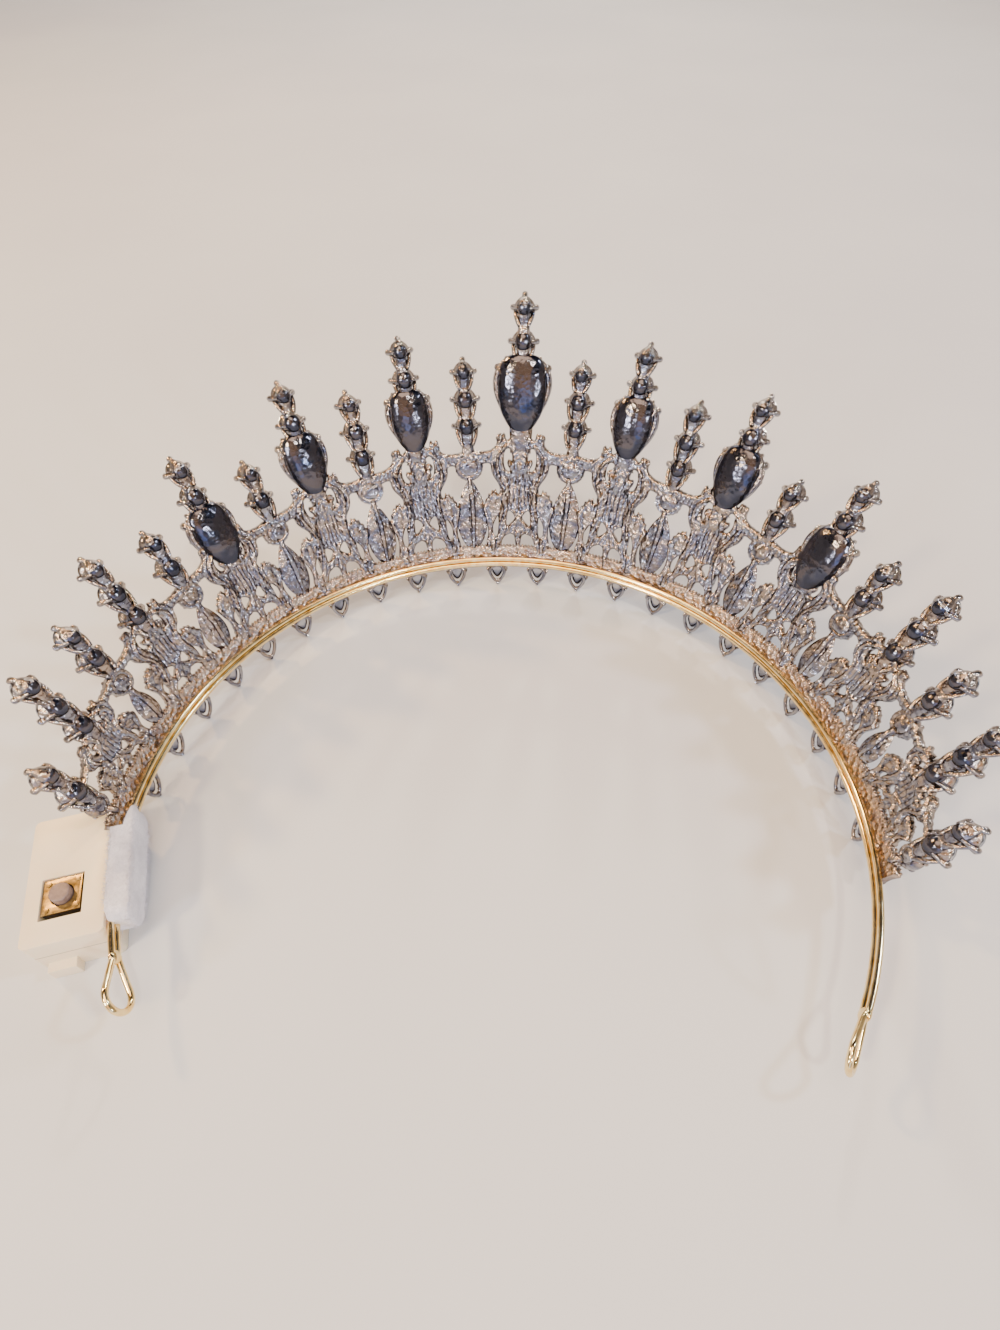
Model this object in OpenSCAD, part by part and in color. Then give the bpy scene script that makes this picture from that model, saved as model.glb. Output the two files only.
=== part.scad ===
// Light-up bridal diadem: a cast crown of tall points with a pierced scroll gallery, on a gold wire
// headband, with a small battery box on its left end.
// The crown leans outwards all round like a cone. A place on it is given by its angle from the front
// and by its height along the lean, measured from the middle of the headband.
// Local axes on the crown: x runs along the band, y points out to the front, z runs up the lean.

/* [Headband] */
// Radius of the headband, to the middle of its wire
band_r = 65; // [62:0.5:68]
// Thickness of the wire, which is laid double
wire_d = 1.1; // [0.9:0.05:1.3]
// Angle from the front at which each end loop starts
band_end = 117; // [114:0.5:119]
// Length of an end loop
loop_len = 9; // [8:0.25:11]
// Width of an end loop between wire middles
loop_w = 5.2; // [4.6:0.1:6]
// Turn of the right loop about its own wire
loop_turn = 45; // [0:5:60]
// Height of the headband over the surface that the diadem stands on
stand_h = 8.4; // [7.6:0.1:10]

/* [Crown] */
// Outward lean of the crown from upright, in degrees
lean = 23; // [16:1:28]
// Angle from one large point to the next
pitch = 17.3; // [17:0.1:17.5]
// Height of the centre point over the headband, along the lean
peak_h = 56; // [53:0.5:62]
// Height of the rail that carries the points, at the centre
rail_h = 26; // [24:0.5:28]
// Height of the base strip over the headband
strip_h = 3.4; // [3:0.1:4]
// Thickness of the cast plates
plate_t = 1.4; // [1.2:0.1:1.8]
// Gap between pieces that sit on each other
gap = 0.1; // [0.08:0.01:0.15]

/* [Claw cups] */
// Radius of a point's top cup, to its claws
cup_r = 2.5; // [2.3:0.05:2.7]
// Depth of a round cup, from its back to its claw tips
cup_d = 3.4; // [3:0.1:4]
// Distance from one cup to the next on a point
cup_step = 5.5; // [5.3:0.1:5.8]
// Width of the pear cup of the centre point
pear_w = 11.6; // [10.5:0.1:12]
// Height of the pear cup of the centre point
pear_h = 15; // [14:0.25:15.5]
// Width of the other pear cups
side_pear_w = 9.3; // [8.6:0.1:9.8]
// Height of the other pear cups
side_pear_h = 12.4; // [11.6:0.1:12.8]

/* [Hanging stones] */
// Stones on each half of the row under the strip
row_count = 11; // [11]
// Angle from one hanging stone to the next
row_pitch = 8.3; // [8:0.1:8.4]
// Width of a hanging stone
row_w = 3.8; // [3.2:0.1:4.4]

/* [Battery box] */
// Length of the box along the band
box_l = 23; // [21:0.5:25]
// Width of the box
box_w = 12.9; // [12.5:0.1:14.5]
// Angle from the front at which the box touches the headband
box_at = 109; // [108:0.5:111]
// Distance from there to the middle of the box, towards the front
box_shift = 6.5; // [5.5:0.25:7.5]
// Height of the box's face over the middle of the headband
face_h = 1.6; // [1.5:0.1:3]
// Side of the push switch
switch_w = 6; // [5.6:0.1:6.4]
// Diameter of the switch's button
button_d = 3.4; // [3:0.1:3.8]
// Height that the button stands over the switch's plate
button_h = 1.3; // [0.9:0.1:1.8]
// Travel of the button
button_travel = 0.25; // [0.2:0.05:0.3]
// Thickness of the felt pad
felt_t = 4.2; // [4:0.1:4.8]
// Length of the felt pad
felt_l = 21.5; // [20:0.5:23]

/* [Hidden] */
silver = [0.78, 0.77, 0.76];
gold = [0.86, 0.68, 0.34];
crystal = [0.82, 0.9, 0.97];

// Points counted from the centre outwards: 0 is the centre point, even ones are large, odd ones small.
// Columns: height of the point as a share of peak_h, height of the rail there as a share of rail_h,
// number of round cups on the point, and 1 where a pear cup follows them.
POINTS = [
  [1.000, 1.00, 2, 1],
  [0.785, 0.98, 3, 0],
  [0.875, 0.96, 2, 1],
  [0.725, 0.90, 3, 0],
  [0.812, 0.88, 2, 1],
  [0.600, 0.84, 2, 0],
  [0.712, 0.80, 2, 1],
  [0.555, 0.76, 2, 0],
  [0.605, 0.69, 3, 0],
  [0.512, 0.66, 2, 0],
  [0.518, 0.52, 3, 0],
  [0.345, 0.40, 2, 0]];
last = len(POINTS) - 1;
step_a = pitch / 2;
crown_end = last * step_a + 1.9;

// Middle of the cast plates in front of the headband
plate_y = wire_d / 2 + gap + 0.55 * plate_t;
// Radius of the second cup and of any cup below it
low_cup_r = 1.17 * cup_r;
// A round stone is this share of its cup's claw radius
stone_share = 0.8;
// Back and front of the drawn model, for the origin in the middle of its box
crown_reach = band_r + (peak_h + 0.2) * sin(lean) + (plate_y + cup_d * 0.7) * cos(lean);
end_reach = -(band_r * cos(band_end)) + (loop_len + wire_d / 2) * sin(band_end);
origin_y = (crown_reach - end_reach) / 2;

// Distance of the crown's surface from the axis at a height up the lean
function radius_at(s) = band_r + s * sin(lean);
function rail_at(k) = rail_h * POINTS[k][1];
function top_at(k) = peak_h * POINTS[k][0];
function is_large(k) = k % 2 == 0;
// The centre point's cups are a little further apart, as its pear is larger
function step_at(k) = k == 0 ? cup_step * pear_h / side_pear_h * 0.95 : cup_step;
function cup_radius(k, j) = j == 0 ? cup_r : low_cup_r;
function cup_height(k, j) = top_at(k) - cup_r - j * step_at(k);
function pear_width(k) = k == 0 ? pear_w : side_pear_w;
function pear_height(k) = k == 0 ? pear_h : side_pear_h;
// The pear's middle hangs below the last round cup by about two thirds of its height
function pear_mid(k) = cup_height(k, POINTS[k][2] - 1) - pear_height(k) * 0.66;

// Puts its children on the crown at an angle from the front and a height up the lean
module on_crown(a, s = 0, y = plate_y)
  translate([0, -origin_y, stand_h])
    rotate([0, 0, -a])
      translate([0, band_r, 0])
        rotate([-lean, 0, 0])
          translate([0, y, s])
            children();

// Ring of n points in the x-z plane at depth y
function ring(n, r, y, turn = 0) = [for (i = [0:n - 1])
  let (t = turn + i * 360 / n) [r * sin(t), y, r * cos(t)]];

// Pear outline, point down: x is sin(t) times sin(t / 2), z is -cos(t), scaled to width and height
function pear(n, w, h, y) = [for (i = [0:n - 1])
  let (t = 180 - i * 360 / n) [0.65 * w * sin(t) * abs(sin(t / 2)), y, -0.5 * h * cos(t)]];

// Leaf outline, pointed at both ends
function leaf(w, h, y) = [[0, y, h / 2], [w * 0.42, y, 0.2 * h], [w * 0.46, y, -0.14 * h],
  [0, y, -h / 2], [-w * 0.46, y, -0.14 * h], [-w * 0.42, y, 0.2 * h]];

// Closed body through rings of equally many points, ordered from back to front, closed at both ends
// by a fan to a middle point. Each ring starts at the top and runs towards +x.
module loft(rings, back_mid, front_mid) {
  n = len(rings[0]);
  m = len(rings);
  pts = concat([for (r = rings) for (p = r) p], [back_mid, front_mid]);
  sides = m < 2 ? [] : [for (j = [0:m - 2]) for (i = [0:n - 1]) for (h = [0, 1])
    let (a = j * n + i, b = j * n + (i + 1) % n)
    h == 0 ? [a, b + n, b] : [a, a + n, b + n]];
  back = [for (i = [0:n - 1]) [m * n, i, (i + 1) % n]];
  front = [for (i = [0:n - 1]) [m * n + 1, (m - 1) * n + (i + 1) % n, (m - 1) * n + i]];
  polyhedron(points = pts, faces = concat(sides, back, front));
}

// Body through level sections, ordered from the top down. Each section is a row of numbers: height,
// half width in front, half width at the back, depth of its front corners, of its front middle and
// of its back corners.
module tower(rows) {
  m = len(rows);
  pts = [for (r = rows) for (p = [[-r[1], r[3]], [0, r[4]], [r[1], r[3]], [r[2], r[5]], [-r[2], r[5]]])
    [p[0], p[1], r[0]]];
  sides = [for (j = [0:m - 2]) for (i = [0:4]) for (h = [0, 1])
    let (a = 5 * j + i, b = 5 * j + (i + 1) % 5, falls = rows[j][4] < rows[j + 1][4],
      across = (i == 0 && falls) || (i == 1 && !falls))
    across ? (h == 0 ? [a, a + 5, b] : [a + 5, b + 5, b]) : (h == 0 ? [a, a + 5, b + 5] : [a, b + 5, b])];
  polyhedron(points = pts, faces = concat([[0, 1, 2, 3, 4]], sides,
    [[for (i = [4:-1:0]) 5 * (m - 1) + i]]));
}

// Depths of a cup: claw tips, rim between the claws, bottom of the hollow and back
claw_y = 0.6 * cup_d;
rim_y = 0.26 * cup_d;
bowl_y = -0.12 * cup_d;
back_y = -0.4 * cup_d;
// A round cup: a bowl whose rim rises to a claw on the left and on the right. The claws above and
// below it are the middles of the necks.
function cup_rows(z, r) = [[z + 0.6 * r, 0.66 * r, 0.36 * r, rim_y, 0.1 * cup_d, back_y],
  [z, r, 0.5 * r, claw_y, bowl_y, back_y],
  [z - 0.6 * r, 0.66 * r, 0.36 * r, rim_y, 0.1 * cup_d, back_y]];
function neck_row(z, w) = [z, w / 2, 0.36 * w, 0.14 * cup_d, 0.95 * claw_y, 0.7 * back_y];
// A pear cup, point down, with a domed back and a claw on each side near its top
function pear_rows(z, w, h) = [
  [z + 0.38 * h, 0.37 * w, 0.24 * w, 0.3 * cup_d, 0.1 * cup_d, -0.45 * cup_d],
  [z + 0.27 * h, 0.475 * w, 0.32 * w, 0.45 * cup_d, 0, -0.62 * cup_d],
  [z + 0.12 * h, 0.5 * w, 0.34 * w, 0.28 * cup_d, 0, -0.7 * cup_d],
  [z - 0.12 * h, 0.42 * w, 0.28 * w, 0.28 * cup_d, 0, -0.64 * cup_d],
  [z - 0.33 * h, 0.28 * w, 0.18 * w, 0.28 * cup_d, 0.1 * cup_d, -0.5 * cup_d],
  [z - 0.5 * h, 0.19 * w, 0.13 * w, 0.2 * cup_d, claw_y, -0.4 * cup_d]];
// Heights of the necks: under cup j of point k, half way to the top of what follows it
function neck_at(k, j) = let (low = cup_height(k, j) - cup_radius(k, j))
  j + 1 < POINTS[k][2] ? (low + cup_height(k, j + 1) + cup_radius(k, j + 1)) / 2
  : POINTS[k][3] == 1 ? (low + pear_mid(k) + 0.5 * pear_height(k)) / 2 : low;
function point_end(k) = POINTS[k][3] == 1 ? pear_mid(k) - 0.5 * pear_height(k)
  : neck_at(k, POINTS[k][2] - 1);
module point_body(k)
  tower(concat([[top_at(k), 0.35, 0.25, 0.85 * claw_y, claw_y, 0.15 * claw_y]],
    [for (j = [0:POINTS[k][2] - 1])
      each concat(cup_rows(cup_height(k, j), cup_radius(k, j)), [neck_row(neck_at(k, j), 0.95 * cup_r)])],
    POINTS[k][3] == 1 ? pear_rows(pear_mid(k), pear_width(k), pear_height(k)) : [],
    [[min(rail_at(k) - 1.5, point_end(k) - 0.8), 0.6 * cup_r, 0.45 * cup_r, 0.45 * plate_t,
      0.6 * plate_t, -0.55 * plate_t]]));

// Pierced scrollwork between a large point and a small one: half of a lyre with its leaf. It is flat,
// in the plane that touches the crown half way between them. Share a runs from the large point (0)
// to the small one (1), share b from the base strip (0) to the rail (1).
module scrollwork(rail_large, rail_small) {
  function half_width(s) = (radius_at(s) + plate_y * cos(lean)) * tan(step_a / 2);
  function at(a, b) = let (s = strip_h + b * (rail_large + a * (rail_small - rail_large) - strip_h))
    [(2 * a - 1) * half_width(s), s];
  difference() {
    polygon([at(-0.03, 1.05), at(0.3, 1.06), at(0.37, 1.15), at(0.46, 1.03), at(0.72, 0.965),
      at(1.03, 1.02), at(1.03, 0.91), at(0.61, 0.91), at(0.59, 0.8), at(0.41, 0.58), at(0.62, 0.54),
      at(0.76, 0.43), at(0.67, 0.25), at(0.72, -0.1), at(0.38, -0.1), at(0.33, 0.08), at(0.08, 0.13),
      at(0.05, -0.1), at(-0.03, -0.1)]);
    // Eye of the lyre
    polygon([at(0.14, 0.86), at(0.2, 0.98), at(0.31, 0.93), at(0.29, 0.79), at(0.19, 0.77)]);
    // Openings under the lyre's plate and behind the leaf
    polygon([at(0.06, 0.3), at(0.22, 0.38), at(0.26, 0.2)]);
    polygon([at(0.42, 0.33), at(0.56, 0.2), at(0.52, 0.07), at(0.43, 0.14)]);
  }
}

// Five-sided flower with a raised middle
module flower(r)
  loft([ring(5, r, 0.2 * plate_t)], [0, -0.9 * plate_t, 0], [0, 1.3 * plate_t, 0]);

// Open round cup and folded leaf under a small point
function small_ring_r(k) = 0.5 * low_cup_r + 0.066 * rail_at(k);
// It hangs from the rail, or on the shortest point from the lowest cup
function lowest_cup(k) = cup_height(k, POINTS[k][2] - 1) - low_cup_r;
function small_ring_s(k) = min(rail_at(k) - small_ring_r(k) - 0.47, lowest_cup(k) - 0.95 * small_ring_r(k));
module small_foot(k) {
  r = small_ring_r(k);
  s = small_ring_s(k);
  leaf_top = s - 0.9 * r;
  leaf_h = leaf_top - strip_h + 1.2;
  leaf_w = 0.42 * leaf_h + 1;
  translate([0, 0.85 * plate_t, s])
    rotate([90, 0, 0])
      linear_extrude(1.5 * plate_t)
        difference() {
          circle(r = r, $fn = 9);
          circle(r = 0.64 * r, $fn = 6);
        }
  translate([0, 0, leaf_top - leaf_h / 2])
    loft([leaf(leaf_w, leaf_h, -0.1 * plate_t), leaf(0.94 * leaf_w, leaf_h, 0.4 * plate_t)],
      [0, -1.0 * plate_t, 0], [0, 0.55 * plate_t, 0]);
}

// Holder of one hanging stone: an open kite-shaped frame with a claw at its tip
drop_y = 0.9;
drop_top = 1.5;
drop_h = stand_h - drop_top;
drop_wall = 0.55;
function kite(w, h, y) = [[0, y, h / 2], [w * 0.34, y, h * 0.36], [w / 2, y, h * 0.14],
  [w * 0.25, y, -h * 0.22], [0, y, -h / 2], [-w * 0.25, y, -h * 0.22], [-w / 2, y, h * 0.14],
  [-w * 0.34, y, h * 0.36]];
module on_row(a)
  translate([0, -origin_y, stand_h])
    rotate([0, 0, -a])
      translate([0, band_r + drop_y, -drop_top - drop_h / 2])
        children();
module drop_holder() {
  w = row_w + 2 * (drop_wall + gap);
  translate([0, 0.35, 0])
    rotate([90, 0, 0])
      linear_extrude(0.8)
        difference() {
          polygon([[0, drop_h / 2], [w / 2, 0.2 * drop_h], [0, -0.47 * drop_h], [-w / 2, 0.2 * drop_h]]);
          polygon([[0, 0.36 * drop_h], [0.38 * w, 0.19 * drop_h], [0, -0.36 * drop_h],
            [-0.38 * w, 0.19 * drop_h]]);
        }
  hull() {
    translate([-0.3, -0.4, -drop_h / 2]) cube([0.6, 0.6, 0.8]);
    translate([-0.2, 1.4, -drop_h / 2]) cube([0.4, 0.1, 0.3]);
  }
}

// Profile of the base strip, from the crown's axis outwards
module strip_profile()
  translate([band_r, 0])
    rotate(-lean)
      translate([wire_d / 2 + gap, 0])
        polygon([[0, -0.9], [0, strip_h], [1.2 * plate_t, strip_h], [1.2 * plate_t, -1.5],
          [0.5 * plate_t, -2.0]]);

module crown_frame() {
  color(silver) {
    union() {
      translate([0, -origin_y, stand_h])
        rotate([0, 0, 90 - crown_end])
          rotate_extrude(angle = 2 * crown_end, $fn = 84)
            strip_profile();
      for (e = [-1, 1], k = [0:last])
        if (k > 0 || e > 0)
          on_crown(e * k * step_a) {
            point_body(k);
            if (!is_large(k)) small_foot(k);
            else if (k > 0) translate([-e * 1.1, 0.1, 0.88 * rail_at(k)]) flower(2.3);
          }
      for (e = [-1, 1], k = [0:last - 1]) {
        large_k = is_large(k) ? k : k + 1;
        small_k = is_large(k) ? k + 1 : k;
        on_crown(e * (k + 0.5) * step_a)
          mirror([e * (small_k - large_k) > 0 ? 0 : 1, 0, 0])
            translate([0, plate_t / 2, 0])
              rotate([90, 0, 0])
                linear_extrude(plate_t)
                  scrollwork(rail_at(large_k), rail_at(small_k));
      }
      for (e = [-1, 1], i = [0:row_count - 1])
        on_row(e * (i + 0.5) * row_pitch)
          drop_holder();
    }
  }
}

// Cut stones. Each has a table, a crown of facets, a girdle and a pointed pavilion.
module round_stone(r, y)
  loft([ring(8, r, y, 22.5), ring(8, 0.58 * r, y + 0.38 * r)], [0, y - 0.5 * r, 0], [0, y + 0.38 * r, 0]);
module pear_stone_at(e, k) {
  w = pear_width(k) - 1.7;
  h = pear_height(k) - 2.4;
  y = 0.43 * cup_d;
  color(crystal)
    on_crown(e * k * step_a, pear_mid(k) + 0.02 * pear_height(k))
      loft([pear(14, w, h, y), pear(14, w * 0.62, h * 0.62, y + 0.16 * w)],
        [0, y - 0.1 * w, 0.08 * h], [0, y + 0.16 * w, 0.08 * h]);
}
module pear_stone_centre() pear_stone_at(1, 0);
module pear_stone_left_1() pear_stone_at(-1, 2);
module pear_stone_left_2() pear_stone_at(-1, 4);
module pear_stone_left_3() pear_stone_at(-1, 6);
module pear_stone_right_1() pear_stone_at(1, 2);
module pear_stone_right_2() pear_stone_at(1, 4);
module pear_stone_right_3() pear_stone_at(1, 6);
module point_stones(large)
  color(crystal)
    for (e = [-1, 1], k = [0:last])
      if (is_large(k) == large && (k > 0 || e > 0))
        for (j = [0:POINTS[k][2] - 1])
          on_crown(e * k * step_a, cup_height(k, j))
            round_stone(stone_share * cup_radius(k, j), 0.5 * cup_d);
module large_point_stones() point_stones(true);
module small_point_stones() point_stones(false);
module gallery_stones()
  color(crystal)
    for (e = [-1, 1], k = [1:2:last])
      on_crown(e * k * step_a, small_ring_s(k))
        round_stone(0.84 * small_ring_r(k), 0.85 * plate_t + gap + 0.14 * small_ring_r(k));
module band_stones()
  color(crystal)
    for (e = [-1, 1], i = [0:row_count - 1])
      on_row(e * (i + 0.5) * row_pitch)
        translate([0, 0.35 + 0.35 + gap, 0.04 * drop_h])
          loft([kite(row_w, 0.8 * drop_h, 0), kite(0.6 * row_w, 0.48 * drop_h, 0.7)],
            [0, -0.45, 0.4], [0, 0.7, 0.4]);

// Two strands of wire, one above the other along the lean, and a drop-shaped loop at each end
strand = wire_d / 2 + 0.03;
module strand_arc(s)
  rotate([0, 0, 90 - band_end])
    rotate_extrude(angle = 2 * band_end, $fn = 96)
      translate([band_r + s * sin(lean), s * cos(lean)])
        circle(d = wire_d, $fn = 24);
// Straight wire between two places, with a bead of solder at each end
module wire_between(a, b) {
  d = b - a;
  translate(a)
    rotate([0, acos(d[2] / norm(d)), atan2(d[1], d[0])]) {
      cylinder(d = wire_d, h = norm(d), $fn = 24);
      for (z = [0, norm(d)])
        translate([0, 0, z]) sphere(d = 1.1 * wire_d, $fn = 24);
    }
}
// Loop that starts at the ends of the strands and runs along +x, turned about its own axis
module end_loop(turn) {
  r = loop_w / 2;
  c = loop_len - r;
  // Where the straight sides meet the round end
  t = acos((r - strand) / c);
  for (e = [-1, 1])
    wire_between([0, 0, e * strand],
      [c - r * cos(t), -e * r * sin(t) * sin(turn), e * r * sin(t) * cos(turn)]);
  rotate([turn, 0, 0])
    translate([c, 0, 0])
      rotate([90, 0, 0])
        rotate([0, 0, t - 180])
          rotate_extrude(angle = 360 - 2 * t, $fn = 48)
            translate([r, 0]) circle(d = wire_d, $fn = 24);
}
module headband()
  color(gold)
    translate([0, -origin_y, stand_h]) {
      strand_arc(strand);
      strand_arc(-strand);
      rotate([0, 0, -band_end]) translate([0, band_r, 0]) rotate([-lean, 0, 0]) end_loop(loop_turn);
      rotate([0, 0, band_end]) translate([0, band_r, 0]) rotate([-lean, 0, 0])
        mirror([1, 0, 0]) end_loop(0);
    }

// Battery box: local x runs along the band to its end, y out from the head, z up. It starts just
// outside the upper strand, which the lean carries a little outwards.
module at_box()
  translate([0, -origin_y, stand_h])
    rotate([0, 0, box_at])
      translate([box_shift, band_r + strand * sin(lean) + wire_d / 2 + gap, 0])
        mirror([1, 0, 0])
          children();
switch_x = 3.4;
switch_y = box_w / 2 + 0.6;
pocket_gap = 0.35;
plate_depth = 0.15;
base_h = 2.4;
module rounded_rectangle(x, y, r) {
  translate([r, 0]) square([x - 2 * r, y]);
  translate([0, r]) square([x, y - 2 * r]);
  for (i = [r, x - r], j = [r, y - r])
    translate([i, j]) circle(r = r, $fn = 32);
}
module box_body()
  at_box()
    difference() {
      union() {
        translate([-box_l / 2, 0, -stand_h])
          linear_extrude(stand_h + face_h) rounded_rectangle(box_l, box_w, 1);
        // Foot at the outer corner of the end, and the rounded thumb tab on the outer side
        translate([box_l / 2 - 1, box_w - 6, -stand_h]) cube([2.6, 4.5, 3]);
        translate([0.28 * box_l, box_w, -stand_h]) cylinder(r = 2, h = 1.6, $fn = 32);
      }
      translate([switch_x - switch_w / 2 - pocket_gap, switch_y - switch_w / 2 - pocket_gap,
        face_h - base_h - 0.8])
        cube([switch_w + 2.2 * pocket_gap + 0.5, switch_w + 2 * pocket_gap, 5]);
    }
// Ring sector about the crown's axis, from one angle to another, with its section as the child
module sector(from, to)
  translate([0, -origin_y, stand_h])
    rotate([0, 0, 90 + from])
      rotate_extrude(angle = to - from, $fn = 96)
        children();
// The corner beside the crown's end is hollowed to clear the base strip
module battery_box()
  color([0.93, 0.91, 0.86])
    difference() {
      box_body();
      sector(crown_end - felt_l, crown_end + 0.6)
        translate([band_r - felt_t, -3])
          square([felt_t + 2.4 * plate_t, 3 + 1.2 * face_h]);
    }
module at_switch()
  at_box()
    translate([switch_x, switch_y, face_h - plate_depth])
      children();
module switch_base()
  color([0.13, 0.12, 0.12])
    at_switch()
      difference() {
        translate([-switch_w / 2, -switch_w / 2, -base_h - 0.5])
          cube([switch_w, switch_w, base_h + 0.5 - 0.3 - 0.02]);
        translate([0, 0, -1.6]) cylinder(d = button_d + 0.4, h = 5, $fn = 48);
      }
module switch_plate()
  color([0.72, 0.62, 0.42])
    at_switch() {
      difference() {
        translate([-switch_w / 2, -switch_w / 2, -0.3]) cube([switch_w, switch_w, 0.3]);
        translate([0, 0, -1]) cylinder(d = button_d + 0.4, h = 3, $fn = 48);
      }
      for (x = [-1, 1], y = [-1, 1])
        translate([x * 0.38 * switch_w, y * 0.38 * switch_w, -0.1]) cylinder(d = 0.9, h = 0.3, $fn = 24);
    }
module switch_button()
  color([0.55, 0.43, 0.38])
    at_switch()
      translate([0, 0, -1.6 + button_travel + 0.1])
        cylinder(d = button_d, h = button_h + 1.6 - button_travel - 0.1, $fn = 48);

// Felt pad on the head side, with a channel for the two strands of wire and cut back at the crown's end
felt_h = 7.4;
module felt_pad()
  color([0.95, 0.94, 0.91])
    difference() {
      at_box()
        translate([-felt_l / 2 - 0.5, -gap, -felt_h / 2 - 1])
          rotate([90, 0, 0])
            linear_extrude(felt_t) rounded_rectangle(felt_l, felt_h, 1.5);
      sector(box_at - felt_l, box_at + felt_l)
        translate([band_r, 0])
          rotate(-lean)
            square([wire_d + 2 * gap, 2 * strand + wire_d + 2 * gap], center = true);
      sector(crown_end - felt_l, crown_end + 0.4)
        translate([band_r - 0.2, -felt_h]) square([felt_t + 1, 2 * felt_h]);
    }

headband();
crown_frame();
pear_stone_centre();
pear_stone_left_1();
pear_stone_left_2();
pear_stone_left_3();
pear_stone_right_1();
pear_stone_right_2();
pear_stone_right_3();
large_point_stones();
small_point_stones();
gallery_stones();
band_stones();
battery_box();
switch_base();
switch_plate();
switch_button();
felt_pad();
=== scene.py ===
# %% [markdown]
# # A light-up bridal diadem
# A cast crown of tall claw-set points stands on a pierced scroll gallery. It is soldered to a doubled
# gold wire that fits the head, and a small battery box with a push switch sits on its left end.
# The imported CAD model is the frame: each piece made here stands in the space of its CAD node, in the
# same metres, and adds what plain solids lack, such as claws, veins, beading and facets.

# %% Load the frame
import bmesh
import bpy
import math
import numpy as np
from mathutils import Matrix, Vector


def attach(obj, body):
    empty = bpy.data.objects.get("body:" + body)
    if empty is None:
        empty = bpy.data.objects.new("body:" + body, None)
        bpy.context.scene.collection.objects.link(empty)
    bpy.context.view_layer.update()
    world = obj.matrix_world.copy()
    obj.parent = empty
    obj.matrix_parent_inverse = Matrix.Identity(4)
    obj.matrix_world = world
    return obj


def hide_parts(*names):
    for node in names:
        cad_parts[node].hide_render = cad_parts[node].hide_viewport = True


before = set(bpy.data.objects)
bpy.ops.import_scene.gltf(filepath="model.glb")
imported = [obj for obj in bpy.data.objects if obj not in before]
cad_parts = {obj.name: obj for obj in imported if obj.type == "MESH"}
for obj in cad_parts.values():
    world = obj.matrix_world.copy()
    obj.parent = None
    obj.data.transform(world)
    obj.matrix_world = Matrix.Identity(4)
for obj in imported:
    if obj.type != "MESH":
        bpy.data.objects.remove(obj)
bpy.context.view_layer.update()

print("CAD nodes:", sorted(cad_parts))

# %% [markdown]
# ## The diadem's own measures
# The crown is a cone that leans outwards. A place on it is an angle from the front, a height along
# the lean and a depth outwards, so every piece can be drawn flat and then wrapped round the head.
# The values repeat those of the CAD model, in millimetres and degrees.

# %% Measures
BAND_R, WIRE_D, BAND_END, LOOP_LEN, LOOP_W, LOOP_TURN = 65.0, 1.1, 117.0, 9.0, 5.2, 45.0
STAND_H, LEAN, STEP, PEAK_H, RAIL_H, STRIP_H, PLATE_T = 8.4, 23.0, 8.65, 56.0, 26.0, 3.4, 1.4
CUP_R, CUP_D, CUP_STEP, GAP = 2.5, 3.4, 5.5, 0.1
ORIGIN_Y = 26.219
PLATE_Y = WIRE_D / 2 + GAP + 0.55 * PLATE_T
SIN_L, COS_L = math.sin(math.radians(LEAN)), math.cos(math.radians(LEAN))
CENTRE_PEAR, SIDE_PEAR = (11.6, 15.0), (9.3, 12.4)
# Height share, rail share, round cups and pear cup of the points, from the centre outwards
POINTS = [(1.0, 1.0, 2, 1), (.785, .98, 3, 0), (.875, .96, 2, 1), (.725, .90, 3, 0), (.812, .88, 2, 1),
          (.6, .84, 2, 0), (.712, .80, 2, 1), (.555, .76, 2, 0), (.605, .69, 3, 0), (.512, .66, 2, 0),
          (.518, .52, 3, 0), (.345, .40, 2, 0)]
LAST = len(POINTS) - 1
EVERY_POINT = [(side, k) for k in range(LAST + 1) for side in (-1, 1) if k or side > 0]
large_points, small_points = ([(side, k) for side, k in EVERY_POINT if k % 2 == odd] for odd in (0, 1))


def rail_at(k):
    """Height of the rail at point k: its share of the centre's rail height."""
    return RAIL_H * POINTS[k][1]


def step_at(k):
    """Distance between cups: wider on the centre point, whose pear is larger."""
    return CUP_STEP * CENTRE_PEAR[1] / SIDE_PEAR[1] * .95 if k == 0 else CUP_STEP


def cup_radius(j):
    """The top cup is a little smaller than those below it."""
    return CUP_R if j == 0 else 1.17 * CUP_R


def cup_height(k, j):
    """Middle of cup j: the point's top, less its radius and j steps."""
    return PEAK_H * POINTS[k][0] - CUP_R - j * step_at(k)


def pear_size(k):
    """Width and height of a pear cup."""
    return CENTRE_PEAR if k == 0 else SIDE_PEAR


def pear_mid(k):
    """Middle of the pear: two thirds of its height below the last round cup."""
    return cup_height(k, POINTS[k][2] - 1) - .66 * pear_size(k)[1]


def xyz(x, y, z):
    """Places from their three coordinates, which are spread to one common shape."""
    return np.stack(np.broadcast_arrays(x, y, z), -1)


def whole_turn(n):
    """n even angles, once round."""
    return np.linspace(0, 2 * np.pi, n, endpoint=False)


def turned(x, out, up, degrees):
    """Millimetres across, out from the crown's axis and up, turned round that axis, as metres."""
    a = np.radians(degrees)
    return xyz(x * np.cos(a) + out * np.sin(a), out * np.cos(a) - x * np.sin(a) - ORIGIN_Y, up) / 1000


def on_crown(points, angle, s=0.0, y=PLATE_Y):
    """Wraps local millimetres (x along the band, y outwards, z up the lean) round the head, in metres:
    the depth and height turn by the lean, then the whole turns by the angle about the crown's axis."""
    p = np.asarray(points, float)
    depth, rise = p[..., 1] + y, p[..., 2] + s
    return turned(p[..., 0], BAND_R + depth * COS_L + rise * SIN_L,
                  STAND_H - depth * SIN_L + rise * COS_L, angle)


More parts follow.
